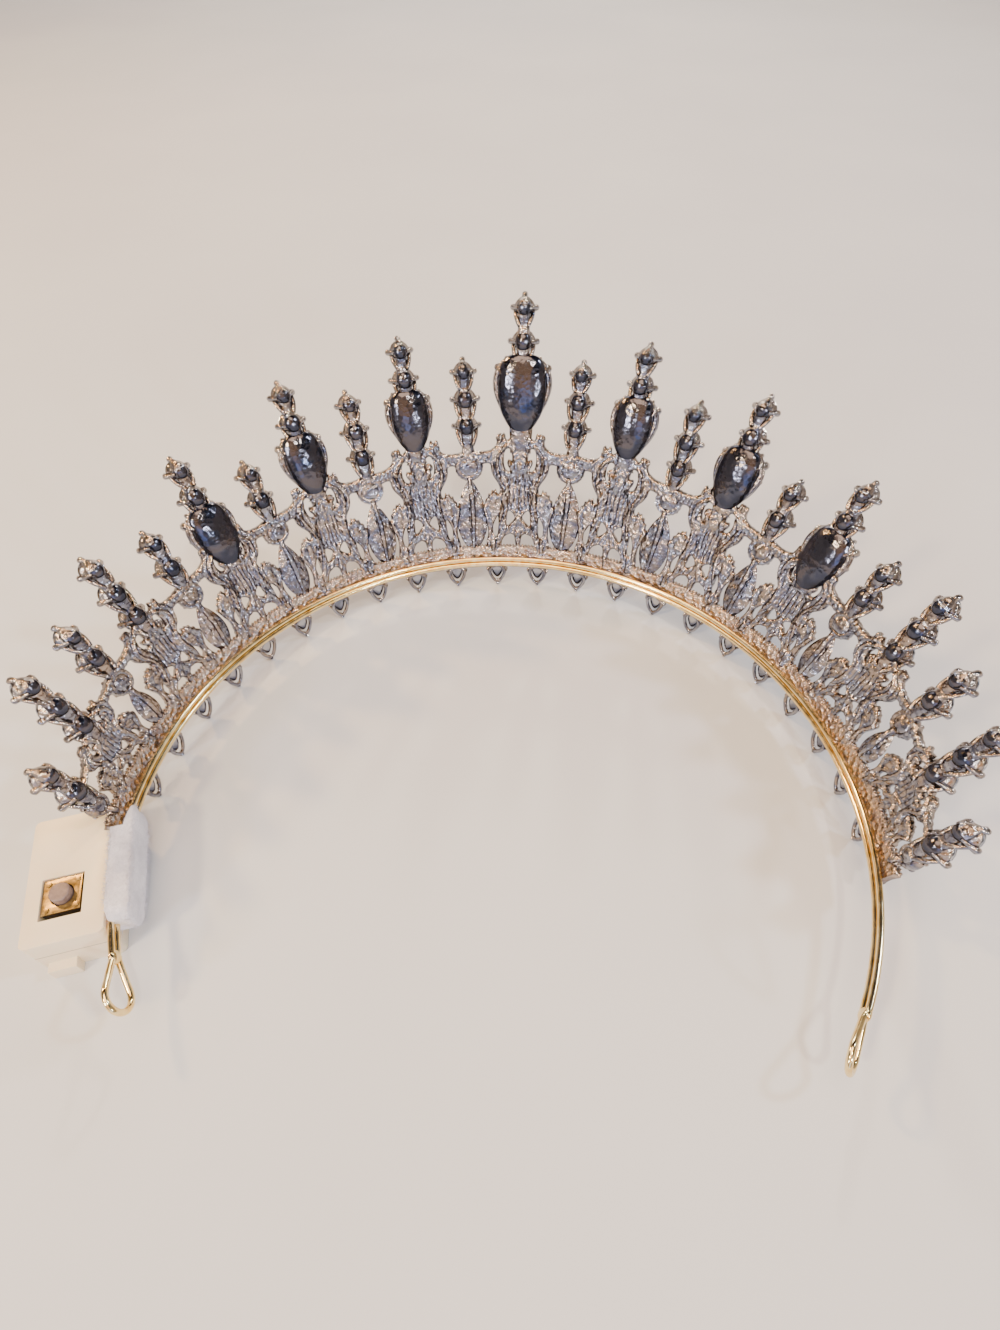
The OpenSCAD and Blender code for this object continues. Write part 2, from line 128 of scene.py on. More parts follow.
def unrolled(t, s, y):
    """A place t steps round the crown, s millimetres up the lean and y out from the band's middle."""
    return on_crown(xyz(0, y, s), t * STEP, y=0)


print("points:", len(EVERY_POINT), "crown spans", round(2 * LAST * STEP, 1), "degrees")

# %% [markdown]
# ## The camera
# The photograph looks into the crown from behind and above, so the backs of the castings show. The
# camera stands where lines through known places on the photograph meet: 128 mm over the table.

# %% Camera
def put(name, data):
    """A new object in the scene that shows the data."""
    obj = bpy.data.objects.new(name, data)
    bpy.context.scene.collection.objects.link(obj)
    return obj


def aim(obj, place, forward, roll=0.0):
    """Turns obj so that its -Z axis points along forward, then rolls it about that axis."""
    turn = Vector(forward).to_track_quat("-Z", "Y").to_matrix()
    turn = turn @ Matrix.Rotation(math.radians(roll), 3, "Z")
    obj.matrix_world = Matrix.Translation(Vector(place)) @ turn.to_4x4()


camera_data = bpy.data.cameras.new("photo_camera")
camera_data.sensor_fit, camera_data.sensor_width, camera_data.lens = "HORIZONTAL", 36, 26.64
camera_data.clip_start, camera_data.clip_end = .005, 20
camera = put("photo_camera", camera_data)
aim(camera, (.0077, -.08872, .1277), (-.0603, .6267, -.7769), -1.4)
bpy.context.scene.camera = camera
print("camera looks down", round(math.degrees(math.asin(.7769)), 1), "degrees")

# %% [markdown]
# ## Building shapes from arrays
# A shape here is three arrays: points, quads and triangles. Most are a skin over a stack of rings,
# and a stack is one array of rows by columns, so that one line of numpy shapes all of it.

# %% Shape helpers
def skin(rings, loop=False):
    """Skin over rings [m, n, 3]: neighbours on a ring and on the next ring share a quad. The first and
    last ring are closed with a fan to their middle, or with loop the last ring joins the first."""
    m, n = rings.shape[:2]
    i, j = np.meshgrid(np.arange(m if loop else m - 1), np.arange(n), indexing="ij")
    i2, j2 = (i + 1) % m, (j + 1) % n
    quads = np.stack([i * n + j, i * n + j2, i2 * n + j2, i2 * n + j], -1).reshape(-1, 4)
    points, tris = rings.reshape(-1, 3), np.zeros((0, 3), int)
    if not loop:
        ends = rings[[0, -1]].mean(1)
        j, k = np.arange(n), (np.arange(n) + 1) % n
        low = np.stack([k, j, np.full(n, m * n)], -1)
        high = np.stack([(m - 1) * n + j, (m - 1) * n + k, np.full(n, m * n + 1)], -1)
        points, tris = np.concatenate([points, ends]), np.concatenate([low, high])
    return outward(points, quads, tris)


def outward(points, quads, tris):
    """Turns every face over if the shape's volume, the sum of its corner pyramids, is negative."""
    every = np.concatenate([quads[:, [0, 1, 2]], quads[:, [0, 2, 3]], tris])
    a, b, c = (points[every[:, i]] for i in range(3))
    if np.einsum("ij,ij->i", a, np.cross(b, c)).sum() < 0:
        quads, tris = quads[:, ::-1], tris[:, ::-1]
    return points, quads, tris


def join(shapes):
    """One shape from many: the face numbers of each are moved on by the points before it."""
    starts = np.cumsum([0] + [len(s[0]) for s in shapes[:-1]])
    return tuple(np.concatenate([s[part] + (start if part else 0) for s, start in zip(shapes, starts)])
                 for part in range(3))


def placed(shape, *where, **how):
    """The shape wrapped onto the crown, facing outwards again after the wrap."""
    return outward(on_crown(shape[0], *where, **how), shape[1], shape[2])


def moved(shape, offset):
    """The shape shifted by an offset in its own millimetres."""
    return shape[0] + np.asarray(offset, float), shape[1], shape[2]


def tube(path, radius, sides=10, closed=False, flat=1.0):
    """Round bar along a path [n, 3]: at each place a circle is set square to the path's direction.
    Radii are spread evenly along the path, and flat squeezes the circle's second axis."""
    path = np.asarray(path, float)
    along = (np.roll(path, -1, 0) - np.roll(path, 1, 0)) if closed else np.gradient(path, axis=0)
    along /= np.linalg.norm(along, axis=1, keepdims=True)
    least = np.eye(3)[np.argmin(np.abs(along).max(0))]
    side = np.cross(along, least)
    side /= np.linalg.norm(side, axis=1, keepdims=True)
    other = np.cross(along, side)
    t = whole_turn(sides)[:, None]
    radius = np.resize(np.asarray(radius, float), max(2, np.size(radius)))
    r = np.interp(np.linspace(0, 1, len(path)), np.linspace(0, 1, len(radius)), radius)[:, None, None]
    rings = path[:, None] + r * (np.cos(t) * side[:, None] + flat * np.sin(t) * other[:, None])
    return skin(rings, loop=closed)


def bead(centre, size, rows=6, cols=10):
    """Ellipsoid: height is the cosine and width the sine of an angle, times the size on each axis."""
    v = np.linspace(.12, np.pi - .12, rows)[:, None]
    t = whole_turn(cols)[None]
    unit = xyz(np.sin(v) * np.cos(t), np.sin(v) * np.sin(t), np.cos(v))
    return skin(unit * np.broadcast_to(size, 3) + np.asarray(centre, float))


def repeated(shape, places):
    """Copies of a small shape at many places [n, 3], as one shape."""
    points, quads, tris = shape
    n, step = len(places), (np.arange(len(places)) * len(points))[:, None, None]
    return ((points[None] + places[:, None]).reshape(-1, 3), (quads[None] + step).reshape(-1, 4),
            (tris[None] + step).reshape(-1, 3))


def smoothed(corners, rounds=3, closed=True):
    """Cuts the corners of an outline: each round puts new points at a quarter and three quarters of
    every side, which turns the outline into a smooth curve inside its corners."""
    p = np.asarray(corners, float)
    for _ in range(rounds):
        q = np.roll(p, -1, 0) if closed else p[1:]
        base = p if closed else p[:-1]
        cut = np.stack([.75 * base + .25 * q, .25 * base + .75 * q], 1).reshape(-1, p.shape[1])
        p = cut if closed else np.concatenate([p[:1], cut, p[-1:]])
    return p


def ripple(points, scale, seed=1):
    """Soft unevenness from -1 to 1: a sum of waves in fixed odd directions, a scale apart in mm."""
    rng = np.random.default_rng(seed)
    turns = rng.normal(size=(9, 3))
    turns *= (2 * np.pi / scale) * rng.uniform(.6, 1.5, (9, 1)) / np.linalg.norm(turns, axis=1, keepdims=True)
    waves = np.sin(points @ turns.T + rng.uniform(0, 6.28, 9))
    return waves.mean(-1) * 2


# %% [markdown]
# ## From arrays to pieces
# A piece is a Blender mesh that rides on a CAD body. Its object stays at the origin, so patterns on
# Object coordinates keep their real size. Faces meet smoothly unless they turn by more than an angle.

# %% Piece helper
MADE = {}


def put_mesh(name, mesh, material):
    """A new object for a mesh, smooth all over and in one material."""
    mesh.materials.clear()
    mesh.materials.append(material)
    mesh.polygons.foreach_set("use_smooth", np.ones(len(mesh.polygons), bool))
    return put(name, mesh)


def piece(name, shape, material, node, sharp, attributes=()):
    """Puts a shape's arrays into a mesh, parents it to the crown's body and hides the CAD node that
    it stands in for.
    """
    points, quads, tris = shape
    mesh = bpy.data.meshes.new(name)
    mesh.from_pydata(points.tolist(), [], quads.tolist() + tris.tolist())
    for label, values in dict(attributes).items():
        mesh.attributes.new(label, "FLOAT", "POINT").data.foreach_set("value", values.astype(np.float32))
    mesh.update()
    obj = put_mesh(name, mesh, material)
    mesh.set_sharp_from_angle(angle=math.radians(sharp))
    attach(obj, "crown")
    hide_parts(node)
    MADE[name] = 2 * len(quads) + len(tris)
    print(f"{name}: {MADE[name]} triangles")
    return obj


# %% [markdown]
# ## Colours and nodes
# Colours are written as the hex values that a screen shows, and turned linear once, here.

# %% Node helpers
def linear(code):
    """Screen hex to linear light: below 0.04045 divide by 12.92, above it the 2.4 power curve."""
    screen = [int(code[i:i + 2], 16) / 255 for i in (1, 3, 5)]
    return [c / 12.92 if c <= .04045 else ((c + .055) / 1.055) ** 2.4 for c in screen] + [1.0]


def add(tree, kind, inputs=(), out=0, stops=(), **settings):
    """Adds one node and gives back one of its outputs. inputs maps a socket to the output or number that
    feeds it. Settings whose names are sockets go to the sockets, the rest are properties, and stops are
    the (position, hex) pairs of a colour ramp."""
    node = tree.nodes.new(kind)
    for key, value in settings.items():
        if hasattr(node, key):
            setattr(node, key, value)
    for key, value in settings.items():
        if not hasattr(node, key):
            node.inputs[key.replace("_", " ")].default_value = value
    for key, source in dict(inputs).items():
        if isinstance(source, float):
            node.inputs[key].default_value = source
        else:
            tree.links.new(source, node.inputs[key])
    for i, (where, code) in enumerate(stops):
        stop = node.color_ramp.elements[i] if i < 2 else node.color_ramp.elements.new(where)
        stop.position, stop.color = where, linear(code)
    return node.outputs[out]


def finish_of(name, **sockets):
    """A new material with its surface shader and object coordinates, as (material, tree, shader, place)."""
    material = bpy.data.materials.new(name)
    material.use_nodes = True
    tree = material.node_tree
    shader = tree.nodes["Principled BSDF"]
    for key, value in sockets.items():
        shader.inputs[key.replace("_", " ")].default_value = value
    return material, tree, shader, add(tree, "ShaderNodeTexCoord", out="Object")


def dress(tree, shader, colour, rough=None, bump=None):
    """Feeds a surface shader with its colour. rough is (what varies it, lowest, highest) and bump is
    (what raises it, strength, metres at most)."""
    tree.links.new(colour, shader.inputs["Base Color"])
    if rough:
        varied = add(tree, "ShaderNodeMapRange", {"Value": rough[0]}, To_Min=rough[1], To_Max=rough[2])
        tree.links.new(varied, shader.inputs["Roughness"])
    if bump:
        raised = add(tree, "ShaderNodeBump", {"Height": bump[0]}, Strength=bump[1], Distance=bump[2])
        tree.links.new(raised, shader.inputs["Normal"])


# %% [markdown]
# ## The finishes
# ** Silver plating over a zinc casting**: poured in a rubber mould, tumbled, then plated bright. It
# gives the eye a near mirror that the cast skin's grain breaks into many small glints. Light and shade
# are painted into its colour: a painted shade where faces look down and in recesses, which carry a
# painted shade value from their making, and a painted warm reflection of the ceiling where they look up.

# %% Plated castings
def plated(name, tones, low, high, dents):
    """Plating over a casting, with light and shade painted into its colour. Its tone is the height part of
    the surface's direction, from 0 looking down to 1 looking up, shifted by a cloudy noise and lowered in
    recesses: a painted shade under the forms and in recesses, and a painted warm reflection on the tops."""
    material, tree, shader, place = finish_of(name, Metallic=1.0)
    grain = add(tree, "ShaderNodeTexNoise", {"Vector": place}, Scale=1 / .0015, Detail=5.0, Roughness=.62)
    pits = add(tree, "ShaderNodeTexVoronoi", {"Vector": place}, Scale=1 / .0009)
    cloud = add(tree, "ShaderNodeTexNoise", {"Vector": place}, Scale=1 / .0042, Detail=4.0, Distortion=.6)
    recess_shade, sky = (add(tree, "ShaderNodeAttribute", out="Fac", attribute_name=label)
                   for label in ("recess_shade", "skyward"))
    clouded = add(tree, "ShaderNodeMath", {0: cloud, 1: .8, 2: sky}, operation="MULTIPLY_ADD")
    lowered = add(tree, "ShaderNodeMath", {0: recess_shade, 1: -.55, 2: clouded}, operation="MULTIPLY_ADD")
    tone = add(tree, "ShaderNodeMapRange", {"Value": lowered}, To_Min=-.4, To_Max=.6)
    dented = add(tree, "ShaderNodeMath", {0: grain, 1: pits}, operation="ADD")
    dress(tree, shader, add(tree, "ShaderNodeValToRGB", {"Fac": tone}, stops=tones),
          (grain, low, high), (dented, .7, dents))
    return material


# Tones from down-facing to up-facing: painted shade, greys, a painted highlight, a painted warm reflection
silver = plated("silver_plated_casting", [
    (0, "#1C1B1C"), (.13, "#3E4048"), (.28, "#A2A4AC"), (.46, "#666A7A"), (.6, "#A3968A"), (.72, "#BFBFC4"),
    (.84, "#F0E9DB"), (1, "#E8C68A")], .05, .22, .00034)

# %% [markdown]
# ** Polished silver plating**: the domed backs of all the cups are buffed, so they mirror the room,
# and that reflection is painted into their colour: dark blue-grey where they look down, warm brown on top.
# ** Worn plating** on the base strip: fingers and the solder's heat leave it dull, and its colour is
# painted by the way it faces: a painted shade below, rosy grey between and a painted warm reflection on top.

# %% Polished and worn plating
polished = plated("polished_silver_plate", [
    (0, "#1E2029"), (.48, "#3F4454"), (.59, "#50535F"), (.67, "#857059"), (.76, "#A9875D"),
    (1, "#EBD5AC")], .07, .24, .0001)
worn_and_shaded = plated("worn_and_shaded_silver_plate", [(0, "#3F3838"), (.3, "#6C6162"), (.52, "#A09088"), (.75, "#D8C6AC"),
                                    (1, "#F2DEB0")], .12, .34, .0006)

# %% [markdown]
# **Foil** lines the backs of the hanging stones, as on most set costume stones: without it the light
# that enters a shallow stone falls straight through.

# %% Foil
# The foil's tones are painted by the way it faces: painted shade below, a painted pale and warm reflection
# above
foil = plated("stone_foil", [(0, "#2C3040"), (.3, "#4A5064"), (.52, "#7F8698"), (.75, "#E6E4E0"),
                             (1, "#F3E2C2")], .03, .1, .00002)

# %% [markdown]
# **Gold-plated steel wire**: drawn through a die, so it is smooth and very bright, with faint lines.

# %% Gold wire
gold, tree, shader, place = finish_of("gold_plated_wire", Metallic=1.0)
drawn = add(tree, "ShaderNodeTexNoise", {"Vector": place}, Scale=1 / .0016, Detail=3.0)
shades = add(tree, "ShaderNodeValToRGB", {"Fac": drawn}, stops=[(.25, "#E9C069"), (.75, "#FFF0BC")])
dress(tree, shader, shades, (drawn, .08, .22), (drawn, .15, .0001))

# %% [markdown]
# **Cut lead-glass crystal**: ground and polished, a heavier glass than window glass, so its facets
# throw light back. A trace of colour drifts through it as in the real stones.

# %% Crystal
crystal, tree, shader, place = finish_of("cut_lead_glass", Transmission_Weight=1.0, IOR=1.62, Roughness=.015)
drift = add(tree, "ShaderNodeTexNoise", {"Vector": place}, Scale=1 / .003, Detail=2.0)
dress(tree, shader, add(tree, "ShaderNodeValToRGB", {"Fac": drift}, stops=[(.3, "#E8F0FF"), (.7, "#FFFDF8")]))

# %% [markdown]
# **Moulded ABS**, warm white, on the battery box: a fine spark-eroded grain and a soft satin gloss.

# %% Box plastic
abs_white, tree, shader, place = finish_of("moulded_white_abs", IOR=1.53, Subsurface_Weight=.12,
                                           Subsurface_Scale=.0015)
grain = add(tree, "ShaderNodeTexNoise", {"Vector": place}, Scale=1 / .0009, Detail=4.0)
cloud = add(tree, "ShaderNodeTexNoise", {"Vector": place}, Scale=1 / .014, Detail=3.0)
# The lid meets the case at a thin shadow: within 0.06 mm of the seam's height the shade is darkest
SEAM_Z = .0056
level = add(tree, "ShaderNodeSeparateXYZ", {"Vector": place}, "Z")
above = add(tree, "ShaderNodeMath", {0: level, 1: SEAM_Z}, operation="SUBTRACT")
off_seam = add(tree, "ShaderNodeMath", {0: above}, operation="ABSOLUTE")
lit = add(tree, "ShaderNodeMapRange", {"Value": off_seam}, From_Min=.00006, From_Max=.00014)
tone = add(tree, "ShaderNodeMath", {0: cloud, 1: lit}, operation="MULTIPLY")
shades = add(tree, "ShaderNodeValToRGB", {"Fac": tone},
             stops=[(0, "#8C7B5C"), (.25, "#E6D3B0"), (.75, "#F1E5CC")])
dress(tree, shader, shades, (grain, .26, .44), (grain, .18, .00008))

# %% [markdown]
# **The switch**: a black nylon base, a stamped brass-tinted steel plate and a grey-brown ABS button.

# %% Switch finishes
def small_part(name, dark, light, low, high, metallic=0.0):
    """A material for a small moulded or stamped part: two shades and a roughness range on one noise."""
    material, tree, shader, place = finish_of(name, Metallic=metallic)
    speck = add(tree, "ShaderNodeTexNoise", {"Vector": place}, Scale=1 / .0008, Detail=4.0)
    shades = add(tree, "ShaderNodeValToRGB", {"Fac": speck}, stops=[(.3, dark), (.7, light)])
    dress(tree, shader, shades, (speck, low, high), (speck, .2, .00006))
    return material


nylon = small_part("black_nylon", "#15130F", "#221E19", .35, .6)
stamped = small_part("stamped_brassed_steel", "#8C7444", "#C6AD78", .22, .42, metallic=1.0)
button_abs = small_part("grey_brown_abs", "#6E5C56", "#8A766E", .38, .55)

# %% [markdown]
# **Pressed wool felt**: fibres matted together, so it is chalky, with a sheen at its rim.

# %% Felt
felt, tree, shader, place = finish_of("pressed_wool_felt", Roughness=.95, Sheen_Weight=.5, Sheen_Roughness=.5)
fibre = add(tree, "ShaderNodeTexNoise", {"Vector": place}, Scale=1 / .0006, Detail=6.0, Roughness=.7,
            Distortion=1.2)
mats = add(tree, "ShaderNodeTexNoise", {"Vector": place}, Scale=1 / .004, Detail=3.0)
matted = add(tree, "ShaderNodeMath", {0: fibre, 1: mats}, operation="MULTIPLY")
shades = add(tree, "ShaderNodeValToRGB", {"Fac": matted}, stops=[(.08, "#B4B0BC"), (.45, "#EFECF2")])
dress(tree, shader, shades, bump=(fibre, .7, .0003))
print("finishes:", [m.name for m in bpy.data.materials if m.use_nodes])

# %% [markdown]
# ## The pierced gallery
# On the real crown this is one flat casting bent round a former: lyres under the large points, an eye
# on each side of a lyre, a fan of leaf beside its foot and a thin rail along the top. It could be
# extruded from outlines, but a casting has swollen edges and veins. So it is a height field: for each
# place on a fine grid the distance to the nearest outline is worked out, the metal's thickness grows
# from that distance, and veins follow it. The grid's rim is slid onto the outline to close it cleanly.

# %% Gallery outlines
# Share a runs from a large point (0) to the small point beside it (1), share b from strip (0) to rail (1)
LYRE = [(-.3, 1.16), (.06, 1.15), (.18, 1.10), (.27, 1.06), (.285, 1.13), (.33, 1.145), (.365, 1.09),
        (.40, 1.14), (.455, 1.12), (.45, 1.04), (.52, .995), (.64, .975), (.78, .975), (.9, .99), (1.3, 1.0),
        (1.3, .89), (.9, .872), (.78, .85), (.68, .855), (.60, .86), (.575, .83), (.58, .80),
        (.54, .73), (.43, .655), (.39, .60), (.41, .545), (.46, .55), (.475, .61), (.52, .565),
        (.56, .60), (.585, .54), (.64, .56), (.65, .50), (.71, .50), (.70, .44), (.77, .43),
        (.735, .36), (.71, .30), (.665, .23), (.66, .13), (.71, .05), (.72, -.12), (.40, -.12),
        (.385, .0), (.34, .085), (.24, .125), (.14, .135), (.085, .11), (.055, .04), (.05, -.12), (-.3, -.12)]
EYE = [(.15, .85), (.16, .95), (.21, .995), (.28, .985), (.315, .92), (.31, .83), (.27, .775), (.19, .765),
       (.205, .80), (.25, .83), (.25, .88), (.20, .89)]
LOWER_EYE = [(.06, .30), (.13, .35), (.22, .385), (.25, .30), (.26, .205), (.16, .245)]
LEAF_EYE = [(.43, .33), (.49, .29), (.56, .21), (.54, .10), (.48, .09), (.44, .16)]
SCROLL = [(.27, 1.02), (.40, .96), (.46, .86), (.43, .74), (.34, .63), (.315, .5), (.345, .38), (.43, .24),
          (.53, .1), (.58, -.1)]
INNER_SCROLL = [(.13, 1.0), (.12, .86), (.16, .74), (.27, .70), (.30, .6), (.27, .5), (.29, .36), (.30, .17)]
CLEARED = [smoothed(o) for o in (LYRE, EYE, LOWER_EYE, LEAF_EYE)]
print("outline points:", [len(o) for o in CLEARED])


# %% Distances on a half bay
def segments(curve, closed=True):
    """Start and end points of a curve's straight parts."""
    return (curve, np.roll(curve, -1, 0)) if closed else (curve[:-1], curve[1:])


def distance(a, b, wide, tall, starts, ends):
    """Millimetres from each place (a, b) to the nearest of many straight parts: the place is dropped
    square onto each part, or onto its nearer end, and the shortest drop counts."""
    sx, sy = (starts[:, 0] - a[:, None]) * wide[:, None], (starts[:, 1] - b[:, None]) * tall[:, None]
    ex, ey = (ends[:, 0] - a[:, None]) * wide[:, None], (ends[:, 1] - b[:, None]) * tall[:, None]
    dx, dy = ex - sx, ey - sy
    share = np.clip(-(sx * dx + sy * dy) / (dx * dx + dy * dy + 1e-9), 0, 1)
    return np.sqrt(((sx + share * dx) ** 2 + (sy + share * dy) ** 2).min(1))


def inside(a, b, starts, ends):
    """True where a line from the place towards +a crosses the outlines an odd number of times."""
    up = (starts[:, 1] > b[:, None]) != (ends[:, 1] > b[:, None])
    slope = (ends[:, 0] - starts[:, 0]) / (ends[:, 1] - starts[:, 1] + 1e-12)
    return (up & (a[:, None] < starts[:, 0] + slope * (b[:, None] - starts[:, 1]))).sum(1) % 2 == 1


# %% Gallery height field
COLS, ROW = 42, .25
s_rows = np.arange(1.9, 29.2, ROW)
t_cols = np.linspace(-LAST, LAST, 2 * LAST * COLS + 1)
T, S = np.meshgrid(t_cols, s_rows, indexing="ij")
starts = np.concatenate([segments(o)[0] for o in CLEARED])
ends = np.concatenate([segments(o)[1] for o in CLEARED])
real = ~(((starts[:, 0] < -.02) & (ends[:, 0] < -.02)) | ((starts[:, 0] > 1.02) & (ends[:, 0] > 1.02)))
# The neighbours' outlines are this one's mirror images, so an axis between two halves isn't an edge
near_starts = np.concatenate([starts[real], starts[real] * [-1, 1], starts[real] * [-1, 1] + [2, 0]])
near_ends = np.concatenate([ends[real], ends[real] * [-1, 1], ends[real] * [-1, 1] + [2, 0]])
scrolls = [segments(smoothed(c, closed=False), False) for c in (SCROLL, INNER_SCROLL)]
D, to_scroll, to_inner, share_a, share_b = (np.zeros_like(T) for _ in range(5))
for left in range(-LAST, LAST):
    large, small = (left, left + 1) if left % 2 == 0 else (left + 1, left)
    cols = slice((left + LAST) * COLS, (left + LAST + 1) * COLS + 1)
    a = (T[cols] - large) / (small - large)
    wide = np.radians(STEP) * (BAND_R + S[cols] * SIN_L + PLATE_Y * COS_L)
    tall = rail_at(abs(large)) + a * (rail_at(abs(small)) - rail_at(abs(large))) - STRIP_H
    b = (S[cols] - STRIP_H) / tall
    flat = [v.ravel() for v in (a, b, wide, tall)]
    gap_to_edge = distance(*flat, near_starts, near_ends)
    sign = np.where(inside(flat[0], flat[1], starts, ends), 1, -1)
    D[cols] = (gap_to_edge * sign).reshape(a.shape)
    to_scroll[cols] = distance(*flat, *scrolls[0]).reshape(a.shape)
    to_inner[cols] = distance(*flat, *scrolls[1]).reshape(a.shape)
    share_a[cols], share_b[cols] = a, b
WIDE = np.radians(STEP) * (BAND_R + S * SIN_L + PLATE_Y * COS_L)
print("gallery grid", T.shape, "metal share", round(float((D > 0).mean()), 2))

# %% Gallery relief
def clamped(value):
    """The value, held between 0 and 1."""
    return np.clip(value, 0, 1)


swell = .3 + .4 * np.sqrt(1 - (1 - np.clip(D / .8, 0, 1)) ** 2)
scroll = np.exp(-(to_scroll / .42) ** 2)
inner = np.exp(-(to_inner / .3) ** 2)
panel = clamped((.27 - share_a) / .06) * clamped((share_b - .34) / .06) * clamped((.78 - share_b) / .06)
fan = clamped((share_a - .42) / .08) * clamped((.56 - share_b) / .05)
flat_places = xyz(T * 10.3, S, 0)
wander = ripple(flat_places, 3.1, 3)
fan_turn = np.arctan2((share_a - .52) * WIDE, (share_b + .12) * 21)
veins = ((1 - fan) * (1 - panel) * np.cos(2 * np.pi * to_scroll / .95 + 1.2 * wander)
         + fan * np.cos(26 * fan_turn + wander)
         + panel * np.cos(2 * np.pi * share_a * WIDE / .85 + 1.1 * wander))
rolled = np.exp(-((D - .38) / .2) ** 2) * (to_scroll > .8)
bar = np.exp(-((share_b - .93) / .035) ** 2) * (share_a > .5)
rough = ripple(flat_places, .9, 5) * .05 + ripple(flat_places, 2.2, 8) * .06
back_out = swell + .42 * scroll + .2 * inner + .13 * veins + .14 * rolled + .15 * bar - .3 * panel + rough
front_out = (swell + .45 * scroll + .24 * inner + .14 * veins + .18 * rolled + .2 * bar - .3 * panel
             + .8 * rough)
valley = (1 - scroll) * np.exp(-((D - .9) / .5) ** 2)
# Painted shade in the relief's hollows: sunk panels, vein grooves and valleys beside the scrolls, less on
# rolled edges
recess_shade = clamped(.22 * panel + .3 * (veins < -.2) + .35 * valley - .3 * rolled)

# %% What the painted shading needs to know
def skyward(shape):
    """From 0 where metal looks down to 1 where it looks up: the height part of each place's direction,
    which is the sum of the cross products of its faces."""
    points, quads, tris = shape
    total = np.zeros_like(points)
    for faces, ends in ((quads, (0, 2, 1, 3)), (tris, (0, 1, 0, 2))):
        a, b, c, d = (points[faces[:, i]] for i in ends)
        square = np.cross(b - a, d - c)
        for corner in faces.T:
            total += xyz(*(np.bincount(corner, square[:, i], len(points)) for i in range(3)))
    return .5 + .5 * total[:, 2] / (np.linalg.norm(total, axis=1) + 1e-12)


def plating(shape, value):
    """The painted shade of recesses all over a shape, made uneven by a slow change and fainter where faces
    look down, with the skyward value that the painted light and shade follow.
    """
    sky = skyward(shape)
    uneven = np.clip(value + .2 * ripple(shape[0] * 1000, 4.0, 11), 0, 1)
    return {"recess_shade": uneven * np.clip(2 * sky - .2, .2, 1), "skyward": sky}


def casting(name, shape, value, finish=silver, sharp=50, node="crown_frame"):
    """A piece of plated metal, value being the strength of its painted recess shade."""
    piece(name, shape, finish, node, sharp, plating(shape, value))


# %% Gallery mesh
# A grid square is metal if its four corners lie within three fifths of a square of the metal
corners = [np.s_[:-1, :-1], np.s_[1:, :-1], np.s_[1:, 1:], np.s_[:-1, 1:]]
kept = np.all([D[c] > -.6 * ROW for c in corners], axis=0)
number = np.arange(T.size).reshape(T.shape)
quads = np.stack([number[c][kept] for c in corners], -1)
sides = np.concatenate([quads[:, [i, (i + 1) % 4]] for i in range(4)])
key = np.sort(sides, 1) @ [T.size, 1]
_, first, count = np.unique(key, return_index=True, return_counts=True)
rim = sides[first[count == 1]]
on_rim = np.zeros(T.size, bool)
on_rim[rim.ravel()] = True
slope_t, slope_s = np.gradient(D, 1 / COLS, ROW)
slope_t = slope_t / WIDE
length = np.sqrt(slope_t ** 2 + slope_s ** 2) + .2
slide = np.where(on_rim.reshape(T.shape) & (np.abs(T) < LAST - .001), np.clip(D, -.2, .25), 0) / length ** 2
t_at, s_at = T - slope_t * slide / WIDE, S - slope_s * slide
used = np.zeros(T.size, bool)
used[quads.ravel()] = True
order = np.cumsum(used) - 1
n_used = used.sum()
front = unrolled(t_at, s_at, PLATE_Y + front_out).reshape(-1, 3)[used]
back = unrolled(t_at, s_at, PLATE_Y - back_out).reshape(-1, 3)[used]
quads, rim = order[quads], order[rim]
closing = np.stack([rim[:, 1], rim[:, 0], rim[:, 0] + n_used, rim[:, 1] + n_used], -1)
gallery = outward(np.concatenate([front, back]), np.concatenate([quads, quads[:, ::-1] + n_used, closing]),
                  np.zeros((0, 3), int))
# Painted recess shade: three fifths of it on the front face, all of it on the back
dark = np.concatenate([.6 * recess_shade.ravel()[used], recess_shade.ravel()[used]])
piece("gallery_casting", gallery, silver, "crown_frame", 60,
      {"recess_shade": dark, "skyward": skyward(gallery)})

# %% [markdown]
# ## Claw cups and stems
# Each point is a stack of collets: short cones that open to the front, with four claws bent over the
# stone. One collet is lathed from a profile, its claws are bars along a bent path, and the same two
# cups serve every point. From behind, two struts run from the side claws down to the stem and make
# the narrow-waisted outline of each point.

# %% Collet and claws
def lathe(profile, wave=1.0, sides=40, loop=False):
    """Turns (radius, depth) rows about the y axis. wave multiplies the radii as the angle goes round."""
    t, p = whole_turn(sides), np.asarray(profile, float)
    r = p[:, :1] * wave
    return skin(xyz(r * np.sin(t), p[:, 1:], r * np.cos(t)), loop)


COLLET = np.array([(.04, -.40), (.32, -.41), (.43, -.37), (.50, -.28), (.60, -.12), (.71, .06), (.81, .24),
                   (.83, .32), (.80, .37), (.74, .34), (.66, .2), (.4, .06), (.05, .02)])
# Four soft lobes, and sixteen shallow grooves in the rows of the outer half
t = whole_turn(32)
OUTER_HALF = (np.arange(len(COLLET)) < len(COLLET) / 2)[:, None]
FLUTES = 1 + .035 * np.cos(4 * t) - .045 * (.5 + .5 * np.cos(16 * t)) * OUTER_HALF
CLAW = np.array([(.50, -.33), (.66, -.12), (.80, .08), (.90, .24), (.94, .40), (.88, .54), (.75, .62)])


def spokes(path, thick, degrees):
    """Bars along a path of (radius, depth) places, set round the y axis at the given angles."""
    return [tube(xyz(path[:, 0] * np.sin(a), path[:, 1], path[:, 0] * np.cos(a)), thick, 8)
            for a in np.radians(degrees)]


